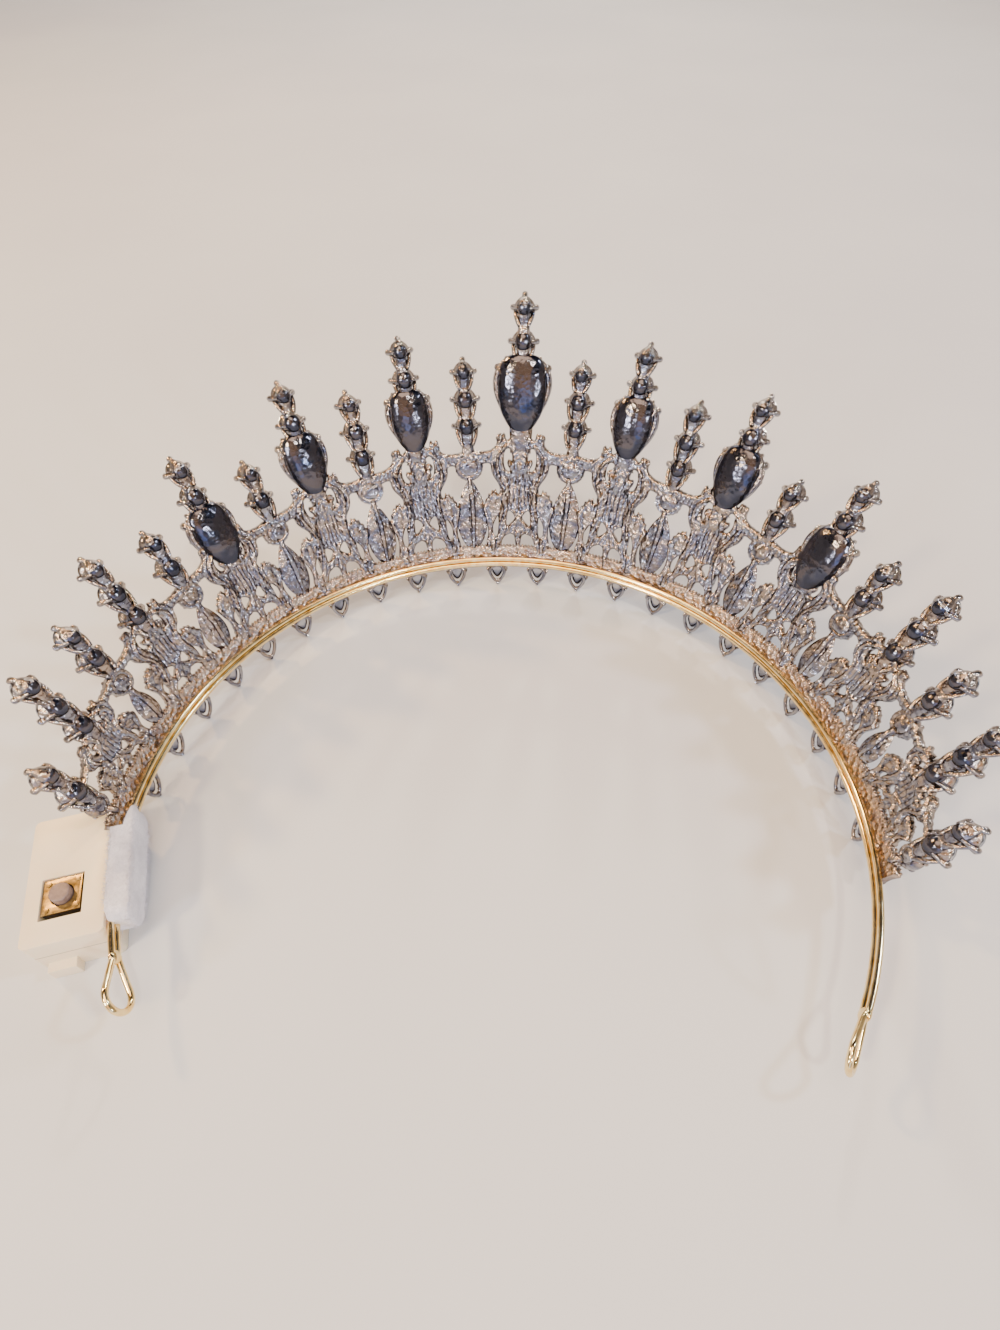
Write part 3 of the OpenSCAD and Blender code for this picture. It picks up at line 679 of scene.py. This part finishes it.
def round_cup(radius):
    """Collet with four claws, which run out past its rim and in over the stone, and with the two
    struts that carry it on the stem."""
    collet = lathe(COLLET * [radius, CUP_D], FLUTES, 32)
    claws = spokes(CLAW * [radius, CUP_D], [.30, .36, .40, .54, .66, .58, .28], (0, 90, 180, 270))
    strut = np.array([(.74, .30, -.1 / radius), (.70, .02, -.58), (.54, -.2, -.98), (.36, -.28, -1.32)])
    struts = [tube(smoothed(strut * [e * radius, CUP_D, radius], 2, False), .42, 8) for e in (-1, 1)]
    return join([collet, *claws, *struts])


CUPS = [round_cup(cup_radius(0)), round_cup(cup_radius(1))]
print("one cup:", len(CUPS[0][1]) * 2, "triangles")


# %% Stems
def ellipses(z, half, back, front, power, sides):
    """Skin over level sections at heights z. Across goes the sine of the angle to the power .9, and the
    depth is the cosine, times front, or to a power and times back behind the middle."""
    t = whole_turn(sides)
    s, c = np.sin(t), np.cos(t)
    across = half[:, None] * np.sign(s) * np.abs(s) ** .9
    depth = np.where(c < 0, np.abs(c) ** power * back[:, None], c * front[:, None])
    return skin(xyz(across, depth, z[:, None]))


def point_stem(k):
    """Stem of a point: wide at each cup, waisted between cups, and spreading into the rail."""
    cups, pear = POINTS[k][2:]
    rows = [(cup_height(k, 0) + .7 * CUP_R, .3, -.5, .2)]
    for j in range(cups):
        r, z = cup_radius(j), cup_height(k, j)
        rows += [(z + .1 * r, .48 * r, -1.5, .5), (z - .45 * r, .50 * r, -1.35, .5),
                 (z - 1.12 * r, 1.18, -1.1, .75)]
    foot = rail_at(k) - 1.6
    end = min(rows[-1][0] - .9, foot) if not pear else pear_mid(k) + .3 * pear_size(k)[1]
    if not pear:
        rows += [((rows[-1][0] + end) / 2 + .2, 1.35, -.95, .8)]
    rows += [(end, 1.7, -.75, .7)]
    z, *sizes = np.array(rows)[::-1].T
    heights = np.linspace(z[-1], z[0], 10 * (len(z) - 1))
    return ellipses(heights, *(np.interp(heights, z, v) for v in sizes), .8, 16)


def at_points(make, points=EVERY_POINT):
    """The shapes make(k) of the points, each wrapped onto its place on the crown."""
    return [placed(make(k), side * k * STEP) for side, k in points]


def in_cups(make, points=EVERY_POINT):
    """The shapes make(j) of the points' round cups, j counted down from a point's top."""
    return [placed(make(j), side * k * STEP, cup_height(k, j))
            for side, k in points for j in range(POINTS[k][2])]


def bulge(j):
    """Buffed dome behind a stone."""
    r = cup_radius(j)
    return bead((0, -.14 * CUP_D, .02 * r), (.60 * r, .45 * CUP_D, .66 * r), 12, 20)


def apex(k):
    """A small apex on the top cup, where two claws of the casting meet above the stone."""
    path = [(0, -.4, -2.3), (0, -.15, -1.65), (0, .3, -.95), (0, .75, -.35), (0, 1.0, .12)]
    return moved(tube(path, [1.62, 1.38, .92, .48, .12], 12), (0, 0, PEAK_H * POINTS[k][0]))


casting("cup_backs", join(in_cups(bulge)), .0, polished, 60)
casting("point_castings", join([*at_points(point_stem), *in_cups(lambda j: CUPS[min(j, 1)]),
                                *at_points(apex)]), .25)

# %% [markdown]
# ## Pear cups
# The large points carry a pear-shaped crystal in a cup with a domed back. Dome and foot are stacks of
# level ellipses. Round the dome goes a bezel of three bars along the pear's outline, with grains and
# claws that hold the crystal.

# %% Pear cups
def pear_ring(t, w, h):
    """Pear outline, point down: x is the sine of the angle times a power of the sine of its half."""
    return .613 * w * np.sin(t) * np.abs(np.sin(t / 2)) ** .75, -.5 * h * np.cos(t)


def smooth_ellipses(rows, sides=56):
    """Level sections from rows of (height, half width, depth of the back in cup depths), whose corners
    are cut first, so that the skin is smooth from top to bottom."""
    z, half, deep = smoothed(rows, 2, False).T
    return ellipses(z, half, -deep * CUP_D, np.full_like(z, .16 * CUP_D), .9, sides)


def pear_dome(k):
    """Back of a pear cup: an egg with its narrow end down."""
    (w, h), mid = pear_size(k), pear_mid(k)
    share = [(.51, .04, .10), (.50, .22, .32), (.44, .345, .50), (.32, .425, .65), (.14, .455, .75),
             (-.06, .45, .77), (-.23, .405, .70), (-.36, .325, .58), (-.47, .23, .44), (-.55, .145, .32),
             (-.61, .075, .22), (-.64, .01, .12)]
    return smooth_ellipses([(mid + a * h, b * w, c) for a, b, c in share])


def pear_foot(k):
    """Foot that carries the egg: it comes out of the dome's lower end and spreads over the rail."""
    (w, h), mid, foot = pear_size(k), pear_mid(k), rail_at(k) - 1.4
    return smooth_ellipses([(mid - .30 * h, .14 * w, .2), (mid - .44 * h, .225 * w, .36),
                            (mid - .54 * h, .215 * w, .37), (min(mid - .62 * h, foot + 1.2), .2 * w, .3),
                            (foot, 2.3, .12)], 32)


def pear_bezel(k):
    """Three bars along a pear's outline with a row of grains, two large claws at its shoulders, small
    ones along its sides and one at its tip."""
    w, h = pear_size(k)
    x, z = pear_ring(np.pi - whole_turn(90), w, 1.01 * h)
    z = z - .02 * h
    made = [tube(xyz(q * x, y, q * z), r, 8, closed=True)
            for q, y, r in ((1.0, .62, .52), (.97, 1.2, .36), (.965, -.08, .55))]
    made.append(repeated(bead((0, 0, 0), .21, 4, 6), xyz(1.02 * x, .98, 1.02 * z)[::2]))
    path = np.array([(.80, -.30), (.90, -.10), (.98, .10), (1.02, .30), (1.02, .44), (.96, .54), (.86, .57)])
    thick = np.array([.28, .36, .44, .56, .60, .52, .26])
    for degrees, bulk in [(128, 1.5), (-128, 1.5), (150, .8), (-150, .8), (95, .85), (-95, .85),
                          (68, .8), (-68, .8), (40, .8), (-40, .8), (180, 1.0)]:
        x, z = pear_ring(np.radians(degrees), w, h)
        made.append(tube(xyz(path[:, 0] * x, path[:, 1] * CUP_D, path[:, 0] * z), bulk * thick, 8))
    return moved(join(made), (0, 0, pear_mid(k)))


pears = [(side, k) for side, k in EVERY_POINT if POINTS[k][3]]
casting("pear_cup_backs", join(at_points(pear_dome, pears)), .0, polished)
casting("pear_cup_walls", join(at_points(pear_foot, pears) + at_points(pear_bezel, pears)), .15)

# %% [markdown]
# ## Feet of the small points
# Under each small point hangs a ring cup, and under the ring a spear leaf with a stalk on its back. The
# ring is a lathe profile, and the leaf is a grid whose depth falls from the keel to the edge.

# %% Rings and leaves
def ring_r(k):
    """Ring under a small point: half a cup and a share of the rail's height."""
    return .5 * cup_radius(1) + .066 * rail_at(k)


def ring_s(k):
    """Height of the ring's middle: it hangs from the rail, or on the shortest point from its cup."""
    lowest = cup_height(k, POINTS[k][2] - 1) - cup_radius(1)
    return min(rail_at(k) - ring_r(k) - .47, lowest - .95 * ring_r(k))


def ring_cup(r):
    """Ring with a beaded seat and four claws, closed at the back with a low dome."""
    seat = np.array([(.62, -.74), (.74, -.90), (.90, -.80), (1.0, -.25), (.98, .6), (.90, 1.1), (.80, 1.12),
                     (.70, .8), (.60, .1)])
    dome = np.array([(.02, -1.02), (.3, -.98), (.52, -.84), (.7, -.6), (.72, -.3), (.5, -.22), (.02, -.22)])
    hook = np.array([(.9, .9), (.95, 1.3), (.88, 1.6), (.74, 1.62)])
    ring = lathe(seat * [r, 1], 1 + .02 * np.cos(20 * whole_turn(40)), loop=True)
    hold = spokes(hook * [r, 1], [.36, .38, .34, .18], (45, 135, 225, 315))
    return join([ring, lathe(dome * [r, 1]), *hold])


def spear_leaf(w, h):
    """Leaf pointed at both ends. Width follows a skewed sine up the leaf; the depth falls from a keel
    at the middle to the edge, with streaks along the leaf and a slow wave across it."""
    v = np.linspace(0, 1, 44)[:, None]
    u = np.linspace(-1, 1, 25)[None]
    half = .43 * w * np.sin(np.pi * v ** .85) ** .8 + .06
    x, z = u * half, (v - .5) * h
    full = np.sin(np.pi * np.clip(v, .02, .98)) ** .45
    streak = np.cos(2 * np.pi * (np.abs(u) * half / .62 + .25 * v * h / 6)) * clamped(2.2 - 2 * np.abs(u))
    vein = .05 * streak + .05 * np.cos(2 * np.pi * (v * h / 2.6 + 1.2 * np.abs(u)))
    keel = .42 * np.exp(-(u / .13) ** 2)
    edge = np.sqrt(np.clip(1 - u ** 6, 0, 1))
    back = -(.12 + (.62 * (1 - np.abs(u)) ** .9 + keel + vein) * full) * edge
    front = (.12 + (.3 + .5 * (1 - np.abs(u)) + .35 * keel + 1.6 * vein) * full) * edge
    return skin(np.concatenate([xyz(x, back, z), xyz(x, front, z)[:, ::-1]], 1))


def small_foot(k):
    """Ring cup, a short neck and the leaf, hung under the rail of small point k."""
    r, s = ring_r(k), ring_s(k)
    top = s - .86 * r
    h = top - STRIP_H + 1.2
    w = .42 * h + 1
    neck = tube([(0, 0, top - .35 * h), (0, -.2, top - .1 * h), (0, -.25, top + .1), (0, -.1, s - .7 * r)],
                [.35, .5, .55, .75], 10)
    stalk = smoothed([(0, -.5, s - .75 * r), (0, -1.15, top - .08 * h), (.05 * w, -1.35, top - .3 * h),
                      (.02 * w, -1.3, top - .6 * h), (0, -.9, STRIP_H + .3)], 2, False)
    return join([moved(ring_cup(r), (0, 0, s)), moved(spear_leaf(w, h), (0, 0, top - h / 2)), neck,
                 tube(stalk, [.8, .55, .62, .5, .34], 9)])


casting("ring_cups_and_leaves", join(at_points(small_foot, small_points)), .3)

# %% [markdown]
# ## Flowers and leaf tufts
# A five-petalled flower sits beside the foot of each large point at the sides, and tufts of small
# leaves stand on the rail. A petal flower is a polar grid whose radius swells five times round.

# %% Flowers and tufts
def flower(r):
    """Two polar grids back to back: the rim swells five times, the depth is a cup with a knob."""
    t = whole_turn(60)
    v = np.array([.04, .12, .2, .26, .34, .5, .66, .8, .92, 1.0])[:, None]
    rim = r * (.66 + .34 * np.abs(np.cos(2.5 * t)) ** .55)
    out = v * (rim * np.clip(v * 3, 0, 1) + r * .8 * (1 - np.clip(v * 3, 0, 1)))
    knob = .95 * np.exp(-(v / .24) ** 4)
    petal = .32 + .42 * v ** 1.5 - .1 * np.abs(np.sin(2.5 * t)) + .05 * np.cos(20 * t) * v
    lift = np.maximum(knob, petal * np.sqrt(np.clip(1.04 - v ** 8, 0, 1)))
    x, z = out * np.sin(t), out * np.cos(t)
    return skin(np.concatenate([xyz(x, -lift, z), xyz(x, .9 * lift, z)[::-1]]))


def tuft(height):
    """Three small pointed leaves that lean apart, each an ellipsoid drawn out to a tip."""
    made = []
    for lean_x, tall, y in ((-.75, .75, -.3), (0.0, 1.0, -.55), (.8, .8, -.25)):
        path = np.array([(0, 0, -.2), (.25 * lean_x, y * .5, .35 * height), (.7 * lean_x, y, .75 * height),
                         (lean_x, y * 1.3, height)])
        path[:, 2] *= tall
        made.append(tube(smoothed(path, 2, False), [.45, .8, .66, .2], 8, flat=.8))
    return join(made)


extras = []
for side, k in large_points:
    if k:
        extras.append(placed(moved(flower(2.3), (-side * 1.1, .1, .88 * rail_at(k))), side * k * STEP))
    for toward in (-1, 1):
        height = 1.05 * (rail_at(k) * .62 + rail_at(k + 1) * .38)
        extras.append(placed(tuft(.07 * rail_at(k)), (side * k + toward * .375) * STEP, height))
casting("flowers_and_tufts", join(extras), .2, sharp=55)

# %% [markdown]
# ## The base strip
# A half-round strip carries the gallery on the wire. Its section is one closed outline swept round the
# head, and a row of tiny beads, called millegrain, is rolled along its top edge.

# %% Strip
CROWN_END = LAST * STEP + 1.9
SECTION = smoothed([(.68, -.85), (.66, 1.0), (.70, 2.7), (.74, 3.3), (1.0, 3.42), (1.5, 3.2), (1.9, 3.35),
                    (2.25, 3.2), (2.3, 2.75), (2.0, 2.45), (1.9, 1.2), (1.92, .1), (2.25, -.2), (2.3, -.75),
                    (2.1, -1.35), (1.55, -1.75), (1.15, -1.7)], 2)
GRAINS, SOLDER_PITCH = 320, 9.2
A, P = np.meshgrid(np.linspace(-CROWN_END, CROWN_END, 420), np.arange(len(SECTION)), indexing="ij")
out, up = SECTION[P][..., 0], SECTION[P][..., 1]
uneven = ripple(xyz(A * 1.13, up, out), 1.7, 21)
strip = skin(unrolled(A / STEP, up, out + .07 * uneven * (out > .9)))
at = np.linspace(-CROWN_END + .4, CROWN_END - .4, GRAINS) / STEP
grains = join([repeated(bead((0, 0, 0), .00031, 5, 7), unrolled(at, s, y))
               for s, y in ((3.36, .98), (3.30, 2.05))])
solder = repeated(bead((0, 0, 0), (.0011, .0006, .0009), 6, 10),
                  unrolled(np.arange(-10, 11) * SOLDER_PITCH / STEP, .55, .78))
casting("base_strip", join([strip, grains, solder]), .2, worn_and_shaded, 45)

# %% [markdown]
# ## Hanging stones
# Eleven kite-shaped crystals hang on each side of the middle, each in an open frame with a claw at
# its tip. A frame is a bar swept round the kite, held to the strip by a short bail.

# %% Frames of the hanging stones
DROP_H, ROW_PITCH, ROW_W, ROWS, ROW_OUT, ROW_TOP = 6.9, 8.3, 3.8, 11, .9, 1.5
row_angles = [side * (i + .5) * ROW_PITCH for i in range(ROWS) for side in (-1, 1)]


def all_along(shape):
    """Copies of a shape that hang upright under the strip, at every angle of the row."""
    x, y, z = shape[0].T
    out, up = BAND_R + ROW_OUT + y, STAND_H - ROW_TOP - DROP_H / 2 + z
    return join([outward(turned(x, out, up, angle), *shape[1:]) for angle in row_angles])


def kite_outline(w, h):
    """Kite with rounded corners: its widest place is a fifth of its height above its middle."""
    return smoothed([(0, h / 2), (w / 2, .2 * h), (0, -h / 2), (-w / 2, .2 * h)])


def drop_frame():
    """Rounded bar along the kite, side and tip claws, and a bail, with a row of grains on the bar."""
    w, h = ROW_W + 1.1, DROP_H
    x, z = kite_outline(w * .95, h * .98).T
    bar = tube(xyz(x, 0, z), .40, 8, closed=True, flat=.9)
    tip = tube([(0, 0, -.40 * h), (0, .5, -.47 * h), (0, 1.1, -.475 * h), (0, 1.42, -.41 * h)],
               [.3, .38, .34, .16], 8)
    sides = [tube([(e * .42 * w, 0, .18 * h), (e * .46 * w, .7, .18 * h), (e * .40 * w, 1.25, .17 * h),
                   (e * .30 * w, 1.4, .16 * h)], [.3, .36, .32, .15], 8) for e in (-1, 1)]
    bail = tube([(0, .1, .40 * h), (0, .15, .5 * h), (0, .25, .56 * h), (0, .45, .62 * h)],
                [.55, .6, .65, .6], 10)
    return join([bar, tip, *sides, bail, repeated(bead((0, 0, 0), .2, 4, 6), xyz(x, .38, z)[::2])])


casting("hanging_stone_frames", all_along(drop_frame()), .15)

# %% [markdown]
# ## The crystals
# A cut stone is a stack of rings again: the table, the crown's facets, the girdle, the pavilion's
# facets and the culet. The rings' points take turns at two radii, so flat faces appear between them,
# and every edge is kept sharp, because light changes at each edge of a real stone.

# %% Cut stones
def cut_stone(outline, size, y, culet):
    """Facets from an outline [n, 2] of even count: rows of (share at even points, share at odd points,
    depth), where depth is in units of size and y is the girdle's depth."""
    rows = np.array([(.50, .50, .36), (.585, .54, .355), (.84, .76, .20), (1.0, 1.0, .05), (1.0, 1.0, -.01),
                     (.70, .78, -.20), (.30, .34, -.48 * culet - .12), (.03, .03, -.6 * culet - .15)])
    share = np.where(np.arange(len(outline)) % 2 == 0, rows[:, :1], rows[:, 1:2])
    return skin(xyz(share * outline[:, 0], y + size * rows[:, 2:], share * outline[:, 1])[::-1])


def cut(node, gems, name=None):
    """The crystals of a node as one piece, with every edge sharp."""
    piece(name or node + "_cut", gems, crystal, node, 2)


def round_stone(r, size, y, culet):
    """A stone of sixteen sides."""
    t = whole_turn(16)
    return cut_stone(np.stack([r * np.sin(t), r * np.cos(t)], -1), size, y, culet)


def cup_stone(j):
    """The round stone of cup j."""
    return round_stone(.8 * cup_radius(j), .8 * cup_radius(j), .5 * CUP_D, .5)


def ring_stone(k):
    """The stone in the ring under small point k, at its height."""
    r = ring_r(k)
    return moved(round_stone(.76 * r, .8 * r, .85 * PLATE_T + GAP + .1 * r, .35), (0, 0, ring_s(k)))


cut("large_point_stones", join(in_cups(cup_stone, large_points)))
cut("small_point_stones", join(in_cups(cup_stone, small_points)))
cut("gallery_stones", join(at_points(ring_stone, small_points)))
for side, k in pears:
    w, h = pear_size(k)
    outline = np.stack(pear_ring(np.pi - whole_turn(28), w - 1.7, h - 2.4), -1)
    gem = placed(cut_stone(outline, .42 * w, .43 * CUP_D, -.05), side * k * STEP, pear_mid(k) + .02 * h)
    cut("pear_stone_centre" if k == 0 else f"pear_stone_{'left' if side < 0 else 'right'}_{k // 2}", gem)
kite = kite_outline(ROW_W, .8 * DROP_H)[::2]
hanging = moved(cut_stone(kite, 1.9, .8, .12), (0, 0, .04 * DROP_H))
cut("band_stones", all_along(hanging), "hanging_stones_cut")
# The foil: a thin cup round the pavilion, as rows of (share of the outline, depth)
foil_rows = np.array([(.03, -.42), (.38, -.36), (.80, -.22), (1.06, -.02),
                      (1.02, -.0), (.76, -.19), (.36, -.32), (.03, -.38)])
share, depth = foil_rows[:, :1], foil_rows[:, 1:]
foil_cup = skin(xyz(share * kite[:, 0], .8 + 1.9 * depth, share * kite[:, 1] + .04 * DROP_H))
casting("hanging_stone_foils", all_along(foil_cup), .0, foil, 2, "band_stones")

# %% [markdown]
# ## The headband
# One length of wire is laid double round the head, bent back at each end into a drop-shaped loop and
# closed with solder. So it is modelled as one path that comes back to its start, with a circle swept
# along it, and not as separate rings that only touch.

# %% Headband wire
STRAND = WIRE_D / 2 + .03


def loop_path(side, turn):
    """One end loop in the lean's plane: a straight side, a round end, and a straight side back."""
    r, c = LOOP_W / 2, LOOP_LEN - LOOP_W / 2
    t = math.acos((r - STRAND) / c)
    bend = np.linspace(t - np.pi, np.pi - t, 30)
    out, rise = np.linspace(.5, c - r * math.cos(t), 8), np.linspace(STRAND, r * math.sin(t), 8)
    x = np.concatenate([out[:-1], c + r * np.cos(bend), out[-2::-1]])
    z = np.concatenate([-rise[:-1], r * np.sin(bend), rise[-2::-1]])
    q = math.radians(turn)
    return on_crown(xyz(side * x, -z * math.sin(q), z * math.cos(q)), side * BAND_END, y=0)


arc = np.linspace(-BAND_END, BAND_END, 240) / STEP
path = np.concatenate([unrolled(arc, -STRAND, 0), loop_path(1, LOOP_TURN), unrolled(arc, STRAND, 0)[::-1],
                       loop_path(-1, 0)[::-1]])
along = np.roll(path, -1, 0) - np.roll(path, 1, 0)
along /= np.linalg.norm(along, axis=1, keepdims=True)
lateral = np.cross(along, [0, 0, 1])
lateral /= np.linalg.norm(lateral, axis=1, keepdims=True)
t = whole_turn(14)[:, None]
wire = skin(path[:, None] + WIRE_D / 2000 * (np.cos(t) * lateral[:, None]
                                             + np.sin(t) * np.cross(along, lateral)[:, None]), loop=True)
joints = [placed(bead((side * .15, 0, 0), (1.25, .72, 1.28), 9, 14), side * BAND_END, y=0)
          for side in (-1, 1)]
piece("headband_wire", join([wire, *joints]), gold, "headband", 60)

# %% [markdown]
# ## The battery box
# The box is moulded in two halves with softly rounded edges. The CAD solid has the right size and
# foot, so a copy of its mesh is merged, freed of flat seams and given a bevel on every sharp edge.

# %% Moulded parts
def moulded(node, name, material, width, body="crown"):
    """Copy of a CAD node with its doubles merged, flat edges dissolved and sharp edges bevelled."""
    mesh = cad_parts[node].data.copy()
    mesh.name = name
    work = bmesh.new()
    work.from_mesh(mesh)
    bmesh.ops.remove_doubles(work, verts=work.verts, dist=2e-6)
    bmesh.ops.dissolve_limit(work, angle_limit=math.radians(.6), verts=work.verts, edges=work.edges)
    work.to_mesh(mesh)
    work.free()
    obj = put_mesh(name, mesh, material)
    bevel = obj.modifiers.new("edge", "BEVEL")
    bevel.width, bevel.segments, bevel.harden_normals = width, 4, True
    bevel.limit_method, bevel.angle_limit = "ANGLE", math.radians(30)
    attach(obj, body)
    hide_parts(node)
    print(f"{name}: {len(mesh.polygons)} faces before its bevel")


moulded("battery_box", "battery_box_moulded", abs_white, .0005)
moulded("switch_base", "switch_base_moulded", nylon, .00012)
moulded("switch_plate", "switch_plate_stamped", stamped, .00008)
moulded("switch_button", "switch_button_moulded", button_abs, .0003, body="button")

# %% [markdown]
# ## The felt pad
# A block of felt is glued to the head side of the box, over the wire, so that neither scratches. It
# is a rounded slab whose faces are uneven, pressed back where the crown's end lies against it, with
# loose fibres along its edges.

# %% Felt pad
BOX_AT, BOX_SHIFT, BOX_OUT = 109.0, 6.5, BAND_R + STRAND * SIN_L + WIRE_D / 2 + GAP


def at_box(p):
    """Box millimetres (x towards its end, y out from the head, z up) to metres on the crown."""
    return turned(BOX_SHIFT - p[..., 0], BOX_OUT + p[..., 1], p[..., 2] + STAND_H, -BOX_AT)


def slab(u, v):
    """Felt surface: u runs round the section and v along the pad. The section is a rectangle with
    rounded corners, drawn in at both ends, as a power of the sine and cosine."""
    c, s = np.cos(u), np.sin(u)
    end = (1 - np.abs(v) ** 10) ** (1 / 3.6)
    y = -2.15 + 2.02 * np.sign(c) * np.abs(c) ** .16 * (.35 + .65 * end)
    z = -1.0 + 3.62 * np.sign(s) * np.abs(s) ** .16 * end
    return xyz(-.5 + 10.65 * v, y, z)


def pressed(world):
    """Presses the felt in to the head side of the crown's end: places within the crown's angle that
    lie too far out are brought back to just inside the wire."""
    x, y = world[..., 0] * 1000, world[..., 1] * 1000 + ORIGIN_Y
    out, turn = np.hypot(x, y), np.degrees(np.arctan2(-x, y))
    target = np.where(turn < CROWN_END + .5, np.minimum(out, BAND_R - .3), out)
    return xyz(x * target / out / 1000, (y * target / out - ORIGIN_Y) / 1000, world[..., 2])


# Columns lie closer together towards the pad's two ends, where it curves most
V, U = np.meshgrid(np.sin(np.linspace(-np.pi / 2, np.pi / 2, 110)) * .9995, whole_turn(96), indexing="ij")
block = slab(U, V)
fine, broad = ripple(block, .8, 31)[..., None], ripple(block, 3, 32)[..., None]
block = block + .07 * fine * [.3, 1, 1] + .06 * broad * [0, 1, 1]
felt_shape = skin(pressed(at_box(np.clip(block, [-11.2, -4.28, -4.68], [10.2, -.12, 2.68]))))
# Each fibre is a bent ribbon of two quads that stands out of the felt
rng = np.random.default_rng(7)
FIBRES = 2600
u0, v0 = rng.uniform(0, 2 * np.pi, FIBRES), np.clip(rng.normal(0, .62, FIBRES), -.995, .995)
root = slab(u0, v0)
away = xyz(.25 * rng.normal(size=FIBRES), np.cos(u0), np.sin(u0)) + .55 * rng.normal(size=(FIBRES, 3))
away /= np.linalg.norm(away, axis=1, keepdims=True)
bend = rng.normal(size=(FIBRES, 3)) * .22
long = rng.uniform(.25, 1.0, (FIBRES, 1))
thin = np.cross(away, bend + 1e-3)
thin *= .028 / np.linalg.norm(thin, axis=1, keepdims=True)
spine = [root - .1 * away, root + .5 * long * away, root + long * away + bend * long]
ribbons = np.stack([p + e * w * thin for p, w in zip(spine, (1, .8, .25)) for e in (-1, 1)], 1)
ribbons = pressed(at_box(np.clip(ribbons, [-11.6, -4.7, -5.2], [10.7, .3, 3.1])))
ribbon_quads = np.array([[0, 1, 3, 2], [2, 3, 5, 4]]) + 6 * np.arange(FIBRES)[:, None, None]
fibres = (ribbons.reshape(-1, 3), ribbon_quads.reshape(-1, 4), np.zeros((0, 3), int))
pad = piece("felt_pad_pressed", join([felt_shape, fibres]), felt, "felt_pad", 80)

# %% [markdown]
# ## Studio
# The diadem stands in a round cove of pale paper, open at the top. Plated metal shows only what it
# mirrors, so large soft panels give it broad lights, and a few small warm and cold lamps its glints.

# %% Floor
# The paper's blots are 110 mm across and so faint that it looks plain
paper, tree, shader, place = finish_of("pale_studio_paper", Roughness=.7)
mottle = add(tree, "ShaderNodeTexNoise", {"Vector": place}, Scale=9.0, Detail=4.0)
shades = add(tree, "ShaderNodeValToRGB", {"Fac": mottle}, stops=[(.3, "#C9CACD"), (.7, "#D0D1D3")])
dress(tree, shader, shades)
# Profile of the cove: a flat floor, a quarter circle and a low wall, in metres
SIDES, FLOOR_R, CURVE_R, WALL_TOP = 96, 1.3, .35, 1.15
bend = np.linspace(0, np.pi / 2, 14)[1:]
out = np.concatenate([np.linspace(.02, FLOOR_R, 24), FLOOR_R + CURVE_R * np.sin(bend), [FLOOR_R + CURVE_R]])
up = np.concatenate([np.zeros(24), CURVE_R * (1 - np.cos(bend)), [WALL_TOP]])
turn = whole_turn(SIDES)
grid = xyz(out[:, None] * np.cos(turn), out[:, None] * np.sin(turn), up[:, None])
i, j = np.meshgrid(np.arange(len(out) - 1), np.arange(SIDES), indexing="ij")
near, far = i * SIDES + j, i * SIDES + (j + 1) % SIDES
quads = np.stack([near, near + SIDES, far + SIDES, far], -1).reshape(-1, 4)
mesh = bpy.data.meshes.new("paper_sweep")
mesh.from_pydata(grid.reshape(-1, 3).tolist(), [], quads.tolist() + [list(range(SIDES))])
sweep = put_mesh("paper_sweep", mesh, paper)


# %% Lamps
def lamp(name, place, size, power, colour):
    """A square soft panel of size metres that faces the diadem."""
    data = bpy.data.lights.new(name, "AREA")
    data.shape, data.size, data.energy, data.color = "SQUARE", size, power, linear(colour)[:3]
    obj = put(name, data)
    obj.visible_camera = False
    aim(obj, place, Vector((0, 0, .03)) - Vector(place))


lamp("warm_ceiling", (-.1, -.1, 1.05), .7, 9.5, "#FFD9B2")
lamp("warm_wall", (.05, -.95, .80), .8, 3.5, "#E8B684")
lamp("front_window", (-.2, 1.1, .55), .55, 4, "#F3F1EE")
lamp("cool_window", (.1, -1.1, .22), .45, 2.4, "#97A5D2")
lamp("white_slot", (-.55, -.75, .42), .14, 5, "#F0F3FF")
for name, place, power, colour in (
        ("right", (.62, .12, .62), 3, "#DDE8FF"), ("left", (-.6, .3, .55), 4.5, "#FFC77E"),
        ("front", (.12, .8, .5), 3, "#FFF0DA"), ("top", (.3, -.4, .85), 3.5, "#FFF0DA"),
        ("near", (-.35, -.35, .5), 3, "#FFE0B0"), ("low", (.5, -.6, .3), 2.5, "#E6EEFF")):
    lamp("glint_" + name, place, .06, power, colour)
world = bpy.data.worlds.new("soft_room")
bpy.context.scene.world = world
world.use_nodes = True
sky = world.node_tree.nodes["Background"]
sky.inputs["Color"].default_value, sky.inputs["Strength"].default_value = linear("#4A5673"), .45

# %% Sizes
print("pieces:", len(MADE), "triangles:", sum(MADE.values()))
